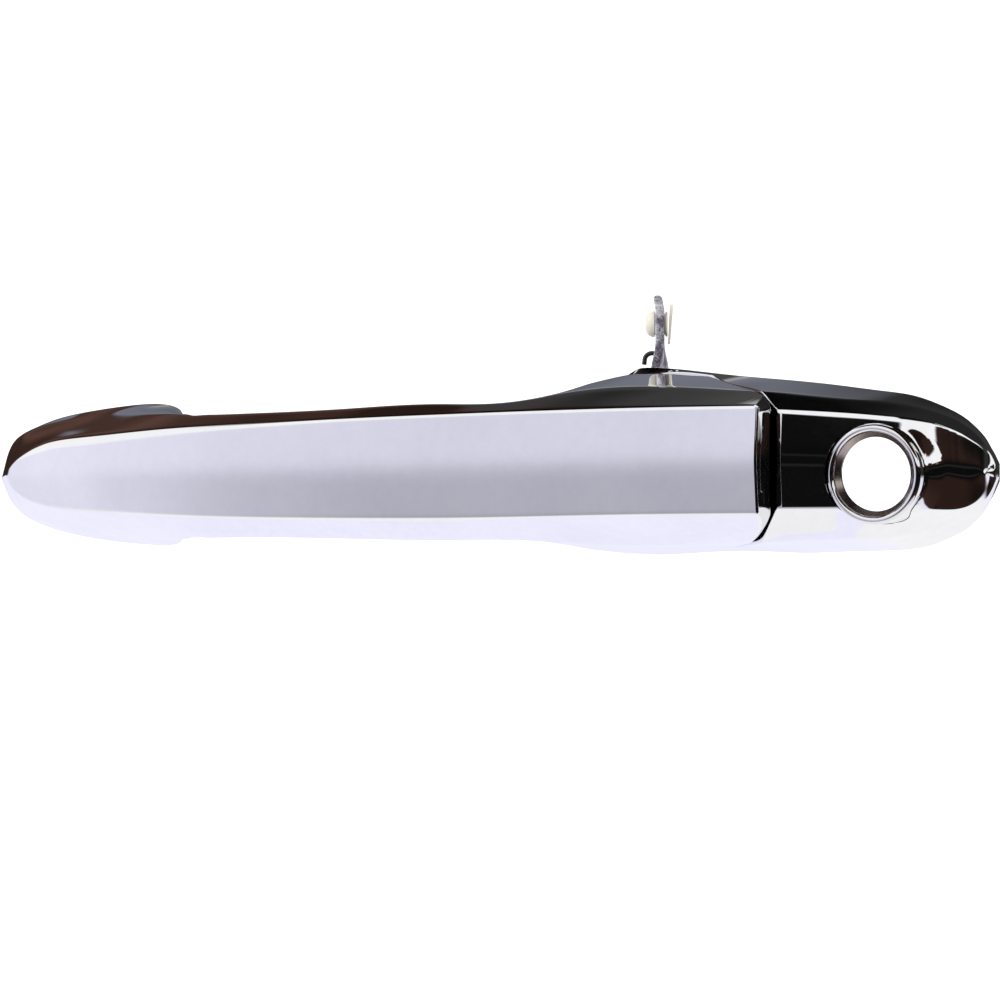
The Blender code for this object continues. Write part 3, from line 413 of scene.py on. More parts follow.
CHROME = look("chrome", (0.86, 0.86, 0.885), (0.92, 0.92, 0.94),
              1.0, (0.012, 0.035), 400.0, 0.0)
BEZEL = look("satin_nickel", (0.34, 0.28, 0.255), (0.50, 0.43, 0.40),
             1.0, (0.18, 0.28), 2500.0, 0.000003)
LIP = look("bezel_lip", (0.80, 0.79, 0.80), (0.88, 0.87, 0.88),
           1.0, (0.03, 0.07), 900.0, 0.0)
BLACK = look("black_nylon", (0.010, 0.010, 0.012), (0.022, 0.022, 0.025),
             0.0, (0.34, 0.55), 2600.0, 0.00004)
RUBBER = look("rubber", (0.012, 0.012, 0.012), (0.028, 0.028, 0.027),
              0.0, (0.65, 0.85), 1800.0, 0.00006)
ZINC = look("zinc_plate", (0.20, 0.17, 0.24), (0.90, 0.89, 0.95),
            0.6, (0.32, 0.5), 2300.0, 0.00003, 0.95, 0.06)
DIECAST = look("diecast", (0.26, 0.26, 0.27), (0.42, 0.42, 0.43),
               0.85, (0.42, 0.6), 1400.0, 0.00005, 0.3)
SPRING = look("spring_steel", (0.05, 0.045, 0.045), (0.15, 0.14, 0.14),
              1.0, (0.25, 0.4), 2500.0, 0.00001)
IVORY = look("ivory_plastic", (0.80, 0.75, 0.62), (0.90, 0.87, 0.78),
             0.0, (0.33, 0.5), 900.0, 0.00002)


# ---------------------------------------------------------------- mesh helpers
TURN = {"X": Matrix.Rotation(math.radians(90), 4, "Y"), "Y": Matrix.Rotation(math.radians(-90), 4, "X"),
        "Z": Matrix.Identity(4)}
SHARP = math.radians(32)


def place(s, y, z):
    """Station, y and z in millimetres to metres in the model's frame."""
    return Vector(((s - ORIGIN_STATION) * MM, y * MM, z * MM))


def finish_mesh(name, data, material):
    """Object from a bmesh, its faces outwards and smooth up to a sharp edge."""
    bmesh.ops.recalc_face_normals(data, faces=data.faces)
    if data.calc_volume(signed=True) < 0:
        bmesh.ops.reverse_faces(data, faces=data.faces)
    mesh = bpy.data.meshes.new(name)
    data.to_mesh(mesh)
    data.free()
    made = bpy.data.objects.new(name, mesh)
    bpy.context.scene.collection.objects.link(made)
    if material:
        mesh.materials.append(material)
    smooth(mesh)
    return made


def smooth(mesh):
    mesh.shade_smooth()
    mesh.set_sharp_from_angle(angle=SHARP)


def bridge(data, low, high):
    """Faces between two rings of as many vertices."""
    for i in range(len(low)):
        j = (i + 1) % len(low)
        data.faces.new((low[i], low[j], high[j], high[i]))


def bridge_all(data, rows):
    """Closed skin over a row of rings."""
    for low, high in zip(rows, rows[1:]):
        bridge(data, low, high)
    data.faces.new(rows[0])
    data.faces.new(rows[-1])


def circle(data, points):
    """Vertices round Z at equal turns, from (radius, height) in millimetres."""
    count = len(points)
    return [data.verts.new((r * MM * math.cos(2 * math.pi * i / count),
                            r * MM * math.sin(2 * math.pi * i / count), h * MM))
            for i, (r, h) in enumerate(points)]


def stand(name, data, origin, turn, material):
    """Object from a bmesh made about Z, moved to its origin and turned."""
    bmesh.ops.transform(data, matrix=Matrix.Translation(place(*origin)) @ turn, verts=data.verts)
    return finish_mesh(name, data, material)


def loft(name, rings, material=None):
    data = bmesh.new()
    bridge_all(data, [[data.verts.new(p) for p in ring] for ring in rings])
    return finish_mesh(name, data, material)


def loft_along(name, stations, section, material=None):
    return loft(name, [[place(s, y, z) for y, z in section(s)] for s in stations], material)


def box(name, low, high, material=None, bevel=0.0):
    a, b = place(*low), place(*high)
    data = bmesh.new()
    bmesh.ops.create_cube(data, size=1.0)
    bmesh.ops.scale(data, vec=b - a, verts=data.verts)
    if bevel:
        bmesh.ops.bevel(data, geom=data.edges[:], offset=bevel * MM, segments=3, affect="EDGES",
                        profile=0.5)
    bmesh.ops.translate(data, vec=(a + b) / 2, verts=data.verts)
    return finish_mesh(name, data, material)


def lathe(name, origin, axis, profile, material=None, steps=96, closed=False, turn=None):
    """Solid turned from a (radius, height) profile about an axis; a closed profile makes a ring."""
    data = bmesh.new()
    rows = []
    for r, h in profile:
        rows.append([data.verts.new((0, 0, h * MM))] if r < 1e-6 else circle(data, [(r, h)] * steps))
    pairs = list(zip(rows, rows[1:])) + ([(rows[-1], rows[0])] if closed else [])
    for low, high in pairs:
        if len(low) == len(high):
            bridge(data, low, high)
            continue
        for i in range(steps):
            j = (i + 1) % steps
            data.faces.new((low[0], high[j], high[i]) if len(low) == 1 else (low[i], low[j], high[0]))
    return stand(name, data, origin, turn or TURN[axis], material)


def rounded_profile(points, radius, segments=5, closed=False):
    """Profile with each marked corner turned into an arc-like curve."""
    out = []
    count = len(points)
    for i, (r, h) in enumerate(points):
        if not closed and i in (0, count - 1):
            out.append((r, h))
            continue
        p = np.array((r, h))
        before = np.array(points[i - 1]) - p
        after = np.array(points[(i + 1) % count]) - p
        size = min(radius, 0.45 * np.linalg.norm(before), 0.45 * np.linalg.norm(after))
        a = p + before / np.linalg.norm(before) * size
        b = p + after / np.linalg.norm(after) * size
        for k in range(segments + 1):
            t = k / segments
            out.append(tuple((1 - t) ** 2 * a + 2 * t * (1 - t) * p + t * t * b))
    return out


def drum(name, centre, radius, length, axis, material=None, bevel=0.25, steps=64, turn=None):
    """Solid cylinder with rounded rims, centred on a point."""
    h = length / 2
    profile = [(0, -h), (radius, -h), (radius, h), (0, h)]
    if bevel:
        profile = rounded_profile(profile, bevel)
    return lathe(name, centre, axis, profile, material, steps, turn=turn)


def tube(name, origin, axis, inner, outer, low, high, material, bevel=0.2):
    profile = rounded_profile([(inner, low), (outer, low), (outer, high), (inner, high)], bevel,
                              closed=True)
    return lathe(name, origin, axis, profile, material, 72, closed=True)


def combine(target, cutters, operation="DIFFERENCE"):
    """Applies booleans to target and removes the cutters."""
    for cutter in cutters:
        boolean = target.modifiers.new(cutter.name, "BOOLEAN")
        boolean.operation = operation
        boolean.object = cutter
    settle(target)
    for cutter in cutters:
        bpy.data.objects.remove(cutter, do_unlink=True)


def settle(target):
    """Applies an object's modifiers."""
    bpy.context.view_layer.update()
    done = bpy.data.meshes.new_from_object(target.evaluated_get(bpy.context.evaluated_depsgraph_get()))
    target.modifiers.clear()
    target.data = done
    smooth(done)


def soften(target, width):
    """Rounds the sharp edges."""
    bevel = target.modifiers.new("soften", "BEVEL")
    bevel.width = width * MM
    bevel.segments = 3
    bevel.limit_method = "ANGLE"
    bevel.angle_limit = SHARP


def wire(name, points, radius, material):
    """Round wire along points in (station, y, z), with closed ends."""
    sides = 14
    path = [place(*p) for p in points]
    data = bmesh.new()
    rings = []
    tangent = (path[1] - path[0]).normalized()
    side = tangent.orthogonal().normalized()
    for i, p in enumerate(path):
        ahead = (path[min(i + 1, len(path) - 1)] - path[max(i - 1, 0)]).normalized()
        side = (side - ahead * side.dot(ahead)).normalized()
        up = ahead.cross(side)
        rings.append([data.verts.new(p + (side * math.cos(a) + up * math.sin(a)) * radius * MM)
                      for a in (2 * math.pi * k / sides for k in range(sides))])
    bridge_all(data, rings)
    return finish_mesh(name, data, material)


def through(points, count):
    """Smooth curve through 3-D points (Catmull-Rom)."""
    p = [np.array(q, float) for q in points]
    p = [2 * p[0] - p[1]] + p + [2 * p[-1] - p[-2]]
    out = []
    for i in range(1, len(p) - 2):
        for k in range(count):
            t = k / count
            out.append(0.5 * (2 * p[i] + (p[i + 1] - p[i - 1]) * t
                              + (2 * p[i - 1] - 5 * p[i] + 4 * p[i + 1] - p[i + 2]) * t * t
                              + (3 * p[i] - p[i - 1] - 3 * p[i + 1] + p[i + 2]) * t ** 3))
    return out + [p[-2]]


def threaded(name, origin, radius, low, high, pitch, head=None):
    """Threaded rod along Y from low to high, with a flat (radius, height) head below it if given."""
    steps, per_turn = 40, 8
    depth = 0.54 * pitch
    rows = int((high - low) / pitch * per_turn)
    rings = []
    if head:
        head_r, head_h = head
        for r, h in ((0.7, 1.0), (0.94, 1.0), (1.0, 0.7), (1.0, 0.2), (0.95, 0.0)):
            rings.append([(head_r * r, low - head_h * h)] * steps)
    for k in range(rows + 1):
        h = low + (high - low) * k / rows
        fade = min(1.0, (high - h) / (pitch * 0.9), (h - low) / pitch + 0.05)
        ring = []
        for i in range(steps):
            phase = (h / pitch - i / steps) % 1.0
            tooth = abs(2 * phase - 1)
            ring.append((radius - depth * (1 - fade * (1 - tooth)) * 0.9, h))
        rings.append(ring)
    data = bmesh.new()
    bridge_all(data, [circle(data, ring) for ring in rings])
    return stand(name, data, origin, TURN["Y"], ZINC)


def hex_nut(name, origin, across, bore, height):
    """Chamfered hexagon nut standing on origin along Y."""
    steps = 96
    flat, corner = across / 2, across / math.sqrt(3)
    data = bmesh.new()

    def hexagon(h, limit):
        angles = (2 * math.pi * i / steps for i in range(steps))
        return circle(data, [(min(flat / math.cos((a % (math.pi / 3)) - math.pi / 6), limit), h)
                             for a in angles])

    levels = [hexagon(0.0, flat * 0.97), hexagon(0.25, flat * 1.03), hexagon(0.55, corner),
              hexagon(height - 0.55, corner), hexagon(height - 0.25, flat * 1.03),
              hexagon(height, flat * 0.97)]
    levels += [circle(data, [(r, h)] * steps) for r, h in
               ((bore + 0.45, height), (bore, height - 0.4), (bore, 0.4), (bore + 0.45, 0.0))]
    for low, high in zip(levels, levels[1:] + levels[:1]):
        bridge(data, low, high)
    return stand(name, data, origin, TURN["Y"], ZINC)


def show(piece, body, slot, *nodes):
    """The piece rides on a body and stands for CAD nodes; its slot is not used."""
    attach(piece, body)
    if nodes:
        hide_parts(*nodes)
    return piece


# ---------------------------------------------------------------- the grip unit
def crowded(start, end, count, toward_end=False):
    """Stations that crowd towards one end."""
    if toward_end:
        return [end - (end - start) * (1 - i / count) ** 2 for i in range(count + 1)]
    return [start + (end - start) * (i / count) ** 2 for i in range(count + 1)]


def even(start, end, pitch):
    count = max(int(round((end - start) / pitch)), 1)
    return [start + (end - start) * i / count for i in range(1, count)]


def make_grip():
    edge = 0.55         # rounding between the front and the flat end
    body = (crowded(0.02, 24, 48) + even(24, 186, 1.2) + even(186, 204, 0.8)
            + crowded(204, GRIP_END - edge, 24, True))

    def outer(s):
        past = s - (GRIP_END - edge)
        inset = edge - math.sqrt(max(edge ** 2 - past ** 2, 0)) if past > 0 else 0.0
        return grip_section(s, 168, inset)

    tail = [GRIP_END - edge + (edge - 0.004) * math.sin(math.radians(a))
            for a in (15, 30, 45, 60, 73, 83, 90)]
    cover = loft_along("grip_skin", body + tail, outer, CHROME)
    hollow_stations = crowded(4.5, 24, 10) + even(24, 186, 4) + crowded(186, 205, 8, True)
    hollow = loft_along("grip_hollow", hollow_stations, lambda s: grip_section(s, 72, SKIN_WALL, 1.5))
    combine(cover, [hollow])
    core_stations = crowded(5.2, 24, 14) + even(24, 186, 1.6) + crowded(186, 204.2, 12, True)
    core = loft_along("grip_core", core_stations,
                      lambda s: grip_section(s, 96, SKIN_WALL + PLAY, -0.2), BLACK)
    recesses = []
    for number, (s, z, back) in enumerate(GRIP_SCREWS, 1):
        head_y = back - 2.0
        recesses.append(drum(f"recess_{number}", (s, head_y - PLAY + 3.0, z), 4.0, 6.0, "Y", bevel=0))
        screw = threaded(f"grip_screw_piece_{number}", (s, head_y, z), 1.6, -11.0, 0.0, 1.0)
        head = lathe(f"grip_screw_head_{number}", (s, head_y, z), "Y",
                     rounded_profile([(0, 0), (3.6, 0), (3.6, 1.0), (2.4, 1.8), (0, 1.8)], 0.5), ZINC)
        cross = [box(f"cross_{number}_{k}", (s - a, head_y + 0.9, z - b), (s + a, head_y + 2.5, z + b))
                 for k, (a, b) in enumerate(((1.8, 0.45), (0.45, 1.8)))]
        combine(head, cross)
        show(screw, "grip", "zinc_plate", f"grip_screw_{number}")
        show(head, "grip", "zinc_plate")
    recesses.append(drum("stud_room", (FRONT_STUD[0], -5.0, FRONT_STUD[1]), 8.5, 6.0, "Y", bevel=0))
    recesses.append(drum("bumper_room", (BUMPER_PLACE[0], FLANGE_Y - 1.5, BUMPER_PLACE[1]), 3.6, 2.0,
                         "Y", bevel=0))
    recesses.append(box("pull_arm_socket", (BLADE[0] - PLAY, -18.0, BLADE_Z[0] - PLAY),
                        (BLADE[1] + PLAY, 0.0, BLADE_Z[1] + PLAY)))
    recesses.append(box("pivot_arm_socket", (7.0 - PLAY, -9.3, PIVOT_Z - PIVOT_ARM_HALF - PLAY),
                        (13.0 + PLAY, 0, PIVOT_Z + PIVOT_ARM_HALF + PLAY)))
    combine(core, recesses)
    show(cover, "grip", "chrome", "grip_cover")
    show(core, "grip", "black_nylon", "grip_back")


def make_grip_arms():
    bar_y = LEVER_Y + FINGER_HALF + BUFFER_R + BAR_FREE_PLAY
    arm = box("pull_arm_piece", (BLADE[0], -17.5, BLADE_Z[0]), (BLADE[1], bar_y + 3.0, BLADE_Z[1]),
              DIECAST, 0.5)
    bar_start, bar_end = LEVER_STATION - 2.6, BLADE[0] + 1.5
    bar = drum("pull_bar", ((bar_start + bar_end) / 2, bar_y, BAR_Z), BAR_R, bar_end - bar_start, "X",
               bevel=0.3)
    combine(arm, [bar], "UNION")
    show(arm, "grip", "diecast", "pull_arm")
    buffer = tube("pull_buffer_piece", (LEVER_STATION, bar_y, BAR_Z), "X", BAR_R + PLAY, BUFFER_R,
                  -1.5, 1.5, RUBBER, 0.25)
    show(buffer, "grip", "rubber", "pull_buffer")
    low, high = PIVOT_Z - PIVOT_ARM_HALF, PIVOT_Z + PIVOT_ARM_HALF
    lug = box("pivot_arm_piece", (7.4, -7.2, low), (13.0, PIVOT_Y, high), DIECAST, 0.4)
    pivot = (PIVOT_STATION, PIVOT_Y, PIVOT_Z)
    combine(lug, [drum("pivot_eye", pivot, 4.6, 2 * PIVOT_ARM_HALF, "Z", bevel=0.4)], "UNION")
    combine(lug, [drum("pivot_eye_hole", pivot, PIN_R + RUNNING, 12.0, "Z", bevel=0)])
    show(lug, "grip", "diecast", "pivot_arm")


# ---------------------------------------------------------------- the fixed rear unit
def make_rear_base():
    flange = crowded(162.52, 168, 14) + even(168, 212.4, 0.9)
    away = (0.06, 0.15, 0.28, 0.45, 0.7, 1.0)
    lip = [LIP_STATION - d for d in reversed(away)] + [LIP_STATION + d for d in away]
    cap = even(214.6, 240, 0.7) + crowded(240, LENGTH - 0.01, 56, True)
    base = loft_along("cap_skin", flange + lip + cap, lambda s: cap_section(s, 168), CHROME)
    pocket = loft_along("lock_pocket", [212] + even(212, 240, 2.5) + crowded(240, 246, 6, True),
                        lambda s: cap_section(s, 60, 3.0, 2.0))
    bumper_seat = (BUMPER_PLACE[0], FLANGE_Y + 0.15, BUMPER_PLACE[1])
    bezel_hole = drum("bezel_hole", (BORE_STATION, -30.0, 0), BEZEL_R + 0.12, 22.0, "Y", bevel=0,
                      steps=128)
    cutters = [pocket, bezel_hole,
               box("arm_slot", (164.9, -8, BLADE_Z[0] - 1.2), (173.0, 2, BLADE_Z[1] + 1.2)),
               drum("bumper_seat", bumper_seat, 3.3, 3.1, "Y", bevel=0)]
    cutters += [drum(f"stud_hole_{k}", (s, -4.5, z), STUD_R + PLAY, 9.0, "Y", bevel=0)
                for k, (s, z) in enumerate(STUD_PLACES)]
    combine(base, cutters)
    show(base, "base", "chrome", "rear_base")
    for number, (s, z) in enumerate(BOSS_PLACES, 1):
        boss = tube(f"base_boss_{number}", (s, 0, z), "Y", 2.3, BOSS_R, -1.6, BRACKET_Y - PLAY, DIECAST,
                    0.4)
        show(boss, "base", "diecast")


def make_bezel():
    """Ring round the key hole: a polished lip, a satin cone that narrows inwards, and a skirt."""
    lip_r, skirt, wall = 0.85, 10.4, 0.8
    lip = [(CONE_R + lip_r + lip_r * math.cos(a), lip_r * math.sin(a) - lip_r)
           for a in (math.pi * (1 - k / 14) for k in range(15))]
    profile = [(BORE_R, -2.0)] + lip + [(BEZEL_R, -skirt), (BEZEL_R - wall, -skirt),
                                        (BEZEL_R - wall, -5.0), (BORE_R, -2.6)]
    ring = lathe("bezel_ring", (BORE_STATION, BEZEL_Y, 0), "Y", [(r, -h) for r, h in profile], BEZEL,
                 160, closed=True)
    combine(ring, [box("bezel_relief", (215, BEZEL_Y + 7.4, -14), (230, BEZEL_Y + 14, 14))])
    ring.data.materials.append(LIP)
    centre = place(BORE_STATION, 0, 0)
    for face in ring.data.polygons:
        away = math.hypot(face.center.x - centre.x, face.center.z) / MM
        face.material_index = int(away > CONE_R + 0.12)
    show(ring, "base", "satin_nickel", "key_bezel")


def make_fasteners():
    for number, (s, z) in enumerate(STUD_PLACES, 1):
        fastener_set("rear", s, z, (-8.7, 13.0), PANEL + PLAY, f"_{number}")
    s, z = FRONT_STUD
    fastener_set("front", s, z, (-2.7, 13.5), PANEL + 2 * PLAY + 2.0, "", (6.0, 1.0))
    for number, (s, z) in enumerate(BOSS_PLACES, 1):
        head_y = BRACKET_Y + BRACKET_THICK + PLAY
        screw = threaded(f"bracket_screw_piece_{number}", (s, head_y, z), 2.0, -7.5, 0.0, 0.8)
        show(screw, "base", "zinc_plate", f"bracket_screw_{number}")
        head = hex_nut(f"bracket_screw_head_{number}", (s, head_y, z), 7.27, 1.0, 2.4)
        plug = drum(f"screw_plug_{number}", (s, head_y + 1.1, z), 1.5, 1.9, "Y", ZINC)
        show(head, "base", "zinc_plate")
        show(plug, "base", "zinc_plate")


def fastener_set(prefix, s, z, reach, washer_y, suffix, head=None):
    """Stud from front to back (y reach), washer and nut."""
    stud = threaded(f"{prefix}_stud_piece{suffix}", (s, 0, z), STUD_R, *reach, 1.0, head)
    show(stud, "base", "zinc_plate", f"{prefix}_stud{suffix}")
    washer = tube(f"{prefix}_washer_piece{suffix}", (s, washer_y, z), "Y", STUD_R + PLAY, WASHER_R, 0.0,
                  WASHER_THICK, ZINC)
    show(washer, "base", "zinc_plate", f"{prefix}_washer{suffix}")
    nut = hex_nut(f"{prefix}_nut_piece{suffix}", (s, washer_y + WASHER_THICK + PLAY, z), NUT_ACROSS,
                  STUD_R + 0.05, NUT_HEIGHT)
    show(nut, "base", "zinc_plate", f"{prefix}_nut{suffix}")


# ---------------------------------------------------------------- the release lever and its hinge
CLIP_TURN = Matrix.Rotation(LEVER_TWIST, 4, "Z") @ TURN["X"]       # square to the upper plate


def on_lever(along, out, z, twist=LEVER_TWIST):
    """Place along the lever's width and out from its middle, by default on its turned upper plate."""
    c, s = math.cos(twist), math.sin(twist)
    return (LEVER_STATION + out * c - along * s, LEVER_Y + out * s + along * c, z)


def lever_half_width(z):
    if z < 9:
        return 1.9 + (FINGER_HALF - 1.9) * step(z, LEVER_FOOT_Z, -12.5)
    if z < 20:
        return max(math.sqrt(max(LEVER_EYE_R ** 2 - (z - LEVER_Z) ** 2, 0)), FINGER_HALF)
    return (3.9 + 1.9 * step(z, 19.5, 26)) * (1 - 0.55 * step(z, 37.2, LEVER_TOP_Z))


def make_lever():
    rings = []
    heights = (crowded(LEVER_FOOT_Z, -12, 8) + even(-12, 6, 1.5) + even(6, LEVER_CROWN_Z, 0.3)
               + [LEVER_CROWN_Z, 38.95, 39.2, 39.4, 39.52, LEVER_TOP_Z])
    for z in heights:
        twist = LEVER_TWIST * step(z, 17.5, 29)
        w = lever_half_width(z)
        lean = -0.5 * step(z, 35.5, LEVER_TOP_Z)
        half = LEVER_THICK / 2 * math.sqrt(max(1 - max(z - LEVER_CROWN_Z, 0) ** 2, 0.1))
        fillet = min(0.35, 0.9 * half)
        ring = []
        corners = ((-half, -w), (half, -w), (half, w), (-half, w))
        for (a, b), start in zip(corners, (180, 270, 0, 90)):
            for k in range(5):
                angle = math.radians(start + 22.5 * k)
                out = a - math.copysign(fillet, a) + fillet * math.cos(angle) + lean
                along = b - math.copysign(fillet, b) + fillet * math.sin(angle)
                ring.append(place(*on_lever(along, out, z, twist)))
        rings.append(ring)
    lever = loft("lever_plate", rings, ZINC)
    hinge = (LEVER_STATION, LEVER_Y, LEVER_Z)
    combine(lever, [drum("lever_bush_hole", hinge, LEVER_BUSH_R + 0.1, 8.0, "X", bevel=0),
                    drum("rod_clip_hole", on_lever(0, 0, CLIP_Z), CLIP_R + RUNNING, 8.0, "X",
                         bevel=0, turn=CLIP_TURN)])
    show(lever, "lever", "zinc_plate", "release_lever")
    bush = tube("lever_bush_piece", hinge, "X", PIN_R + RUNNING, LEVER_BUSH_R, -1.9, 5.0, BLACK, 0.3)
    show(bush, "lever", "black_nylon", "lever_bush")


def make_rod_clip():
    """Clip with a domed head on one side of the lever and a collar and latch on the other."""
    dome = [(0, -3.4), (0.9, -3.36), (1.7, -3.2), (2.35, -2.85), (2.75, -2.35), (2.96, -1.8),
            (3.0, -1.35)]
    neck = rounded_profile([dome[-1], (3.0, -1.2), (CLIP_R, -1.15), (CLIP_R, 1.25), (2.9, 1.25),
                            (2.9, 1.75), (0, 1.75)], 0.2, 4)
    clip = lathe("rod_clip_piece", on_lever(0, 0, CLIP_Z), "X", dome[:-1] + neck, IVORY, 72,
                 turn=CLIP_TURN)
    show(clip, "clip", "ivory_plastic", "rod_clip")
    (low, low_in, low_out), (high, high_in, high_out) = LATCH_LEVELS
    rings = []
    for k in range(25):
        share = k / 24
        z = low + (high - low) * share
        inner, outer = low_in + (high_in - low_in) * share, low_out + (high_out - low_out) * share
        half = 2.5 - 0.9 * (1 - math.sin(math.radians(min(90, 12 + 300 * min(share, 1 - share)))))
        rib = 0.12 if 5 <= k <= 19 and k % 4 in (1, 2) else 0.0
        rings.append([place(*on_lever(along, out, z)) for along, out in (
            (-half, inner + 0.1), (-half, outer - 0.12), (-half + 0.12, outer), (-1.2, outer),
            (-1.1, outer - rib), (1.1, outer - rib), (1.2, outer), (half - 0.12, outer),
            (half, outer - 0.12), (half, inner + 0.1), (half - 0.1, inner), (-half + 0.1, inner))])
    latch = loft("clip_latch_piece", rings, IVORY)
    show(latch, "clip_latch", "ivory_plastic", "rod_clip_latch")


def make_lever_spring():
    """Coil round the hinge, with one end down to the bracket and the other hooked over the lever."""
    first, last, turns, coil_r = 153.0, 156.6, 3.25, 4.4
    coil = []
    steps = 160
    for i in range(steps + 1):
        angle = math.radians(-90) + 2 * math.pi * turns * i / steps
        coil.append((first + (last - first) * i / steps, LEVER_Y + coil_r * math.cos(angle),
                     LEVER_Z + coil_r * math.sin(angle)))
    start = through([(152.9, 9.2, 9.4), (152.9, 13.0, 9.5), (152.9, 18.0, 9.6), coil[0]], 8)[:-1]
    hook = through([coil[-1], (156.7, 27.2, 18.0), (156.7, 27.8, 24.4), (156.4, 27.8, 25.6),
                    (155.5, 27.7, 26.3), (154.4, 27.6, 26.2), (153.5, 27.5, 25.4),
                    (153.2, 27.5, 23.7)], 8)[1:]
    spring = wire("lever_spring_piece", start + coil + hook, 0.55, SPRING)
    show(spring, "lever", "spring_steel", "lever_spring")


def headed_pin(name, node, centre, length, axis):
    h = length / 2
    profile = rounded_profile([(0, -h - 1.1), (3.6, -h - 1.1), (3.6, -h + 0.1), (PIN_R, -h + 0.1),
                               (PIN_R, h), (0, h)], 0.35)
    show(lathe(name, centre, axis, profile, ZINC), "base", "zinc_plate", node)


def retaining_ring(name, node, centre, axis):
    ring = tube(name, centre, axis, PIN_R + 0.25, 4.6, -0.4, 0.4, SPRING, 0.1)
    low = [c - 1.3 for c in centre]
    high = [c + 1.3 for c in centre]
    low[1] = centre[1]
    high[1] = centre[1] + 6
    combine(ring, [box("mouth", low, high)])
    show(ring, "base", "spring_steel", node)


def make_hinges():
    headed_pin("lever_pin_piece", "lever_pin", (158.7, LEVER_Y, LEVER_Z), 21.2, "X")
    retaining_ring("lever_ring_piece", "lever_pin_ring", (168.9, LEVER_Y, LEVER_Z), "X")
    headed_pin("pivot_pin_piece", "pivot_pin", (PIVOT_STATION, PIVOT_Y, PIVOT_Z), 18.0, "Z")
    retaining_ring("pivot_ring_piece", "pivot_pin_ring", (PIVOT_STATION, PIVOT_Y, PIVOT_Z + 8.1), "Z")


def dress_cad_nodes():
    """CAD nodes whose shape is right keep it, with softened edges and a finish."""
    for node, material, width in (("lever_bracket", BLACK, 0.4), ("front_bracket", DIECAST, 0.4),
                                  ("rear_gasket", RUBBER, 0.2), ("front_gasket", RUBBER, 0.2),
                                  ("front_base", BLACK, 0.2), ("grip_bumper", RUBBER, 0.4)):
        piece = NODES[node]
        piece.data.materials.clear()
        piece.data.materials.append(material)
        piece.data.shade_smooth()
        soften(piece, width)
        piece.modifiers.new("weighted", "WEIGHTED_NORMAL").keep_sharp = False


make_grip()
make_grip_arms()
make_rear_base()
make_bezel()
make_fasteners()
make_lever()
make_rod_clip()
make_lever_spring()
make_hinges()
dress_cad_nodes()


# ---------------------------------------------------------------- studio
def make_floor():
    """Pale floor, below the handle, that bends up into a wall behind it."""
    size, level, bend, wall = 3.0, -0.35, 0.6, 2.5
    data = bmesh.new()
    profile = [(-size, 0.0)] + [(size - bend + bend * math.sin(a), bend - bend * math.cos(a))
                                for a in (math.radians(10 * k) for k in range(10))] + [(size, wall)]
    rows = [[data.verts.new((x, y, z + level)) for y, z in profile] for x in (-size, size)]
    for i in range(len(profile) - 1):
        data.faces.new((rows[0][i], rows[1][i], rows[1][i + 1], rows[0][i + 1]))
    mesh = bpy.data.meshes.new("floor")
    data.to_mesh(mesh)
    data.free()
    mesh.shade_smooth()
    floor = bpy.data.objects.new("floor", mesh)
    bpy.context.scene.collection.objects.link(floor)
    paint = bpy.data.materials.new("floor_white")
    paint.use_nodes = True
    shader = paint.node_tree.nodes["Principled BSDF"]
    shader.inputs["Base Color"].default_value = (0.9, 0.9, 0.9, 1.0)
    shader.inputs["Roughness"].default_value = 0.9
    shader.inputs["Emission Color"].default_value = (1.0, 1.0, 1.0, 1.0)
    shader.inputs["Emission Strength"].default_value = 0.35
    mesh.materials.append(paint)
    floor.visible_glossy = False
    floor.visible_shadow = False


def make_world():
    """White to the eye and to diffuse light; polished metal sees a studio of dark and pale panels."""
    world = bpy.data.worlds.new("studio")
    world.use_nodes = True
    bpy.context.scene.world = world
    tree = world.node_tree
    tree.nodes.clear()
    g = Graph(tree)
    way = g.add("ShaderNodeSeparateXYZ", {"Vector": g.add("ShaderNodeTexCoord").outputs["Generated"]})
    x, y, z = (way.outputs[k] for k in "XYZ")
    turn = g.math("MULTIPLY", g.math("ARCTAN2", x, g.math("MULTIPLY", y, -1.0)), 180 / math.pi)
    rise = g.math("MULTIPLY", g.math("ARCSINE", z), 180 / math.pi)

    def ladder(value, stops):
        """Colour that changes with a value: (value, colour) stops, smooth between."""
        result = None
        for (a, first), (b, second) in zip(stops, stops[1:]):
            factor = g.spread(value, a, b, 0.0, 1.0, True)
            result = g.mix(factor, first if result is None else result, second)
        return result

    around = ladder(rise, PANELS[0][2])
    for start, end, stops in PANELS[1:]:
        around = g.mix(g.spread(turn, start, end, 0.0, 1.0, True), around, ladder(rise, stops))
    path = g.add("ShaderNodeLightPath")
    mirror = g.add("ShaderNodeBackground", {"Color": around, "Strength": 1.0}).outputs[0]
    plain = g.add("ShaderNodeBackground", {"Color": (1.0, 1.0, 1.0, 1.0), "Strength": 1.0}).outputs[0]
    both = g.add("ShaderNodeMixShader", {0: path.outputs["Is Glossy Ray"], 1: plain, 2: mirror})
    g.add("ShaderNodeOutputWorld", {"Surface": both.outputs[0]})


def grey(value, tint=(1.0, 1.0, 1.0)):
    """Linear colour of a screen grey from 0 to 255."""
    u = value / 255
    linear = u / 12.92 if u <= 0.04045 else ((u + 0.055) / 1.055) ** 2.4
    return tuple(linear * c for c in tint)


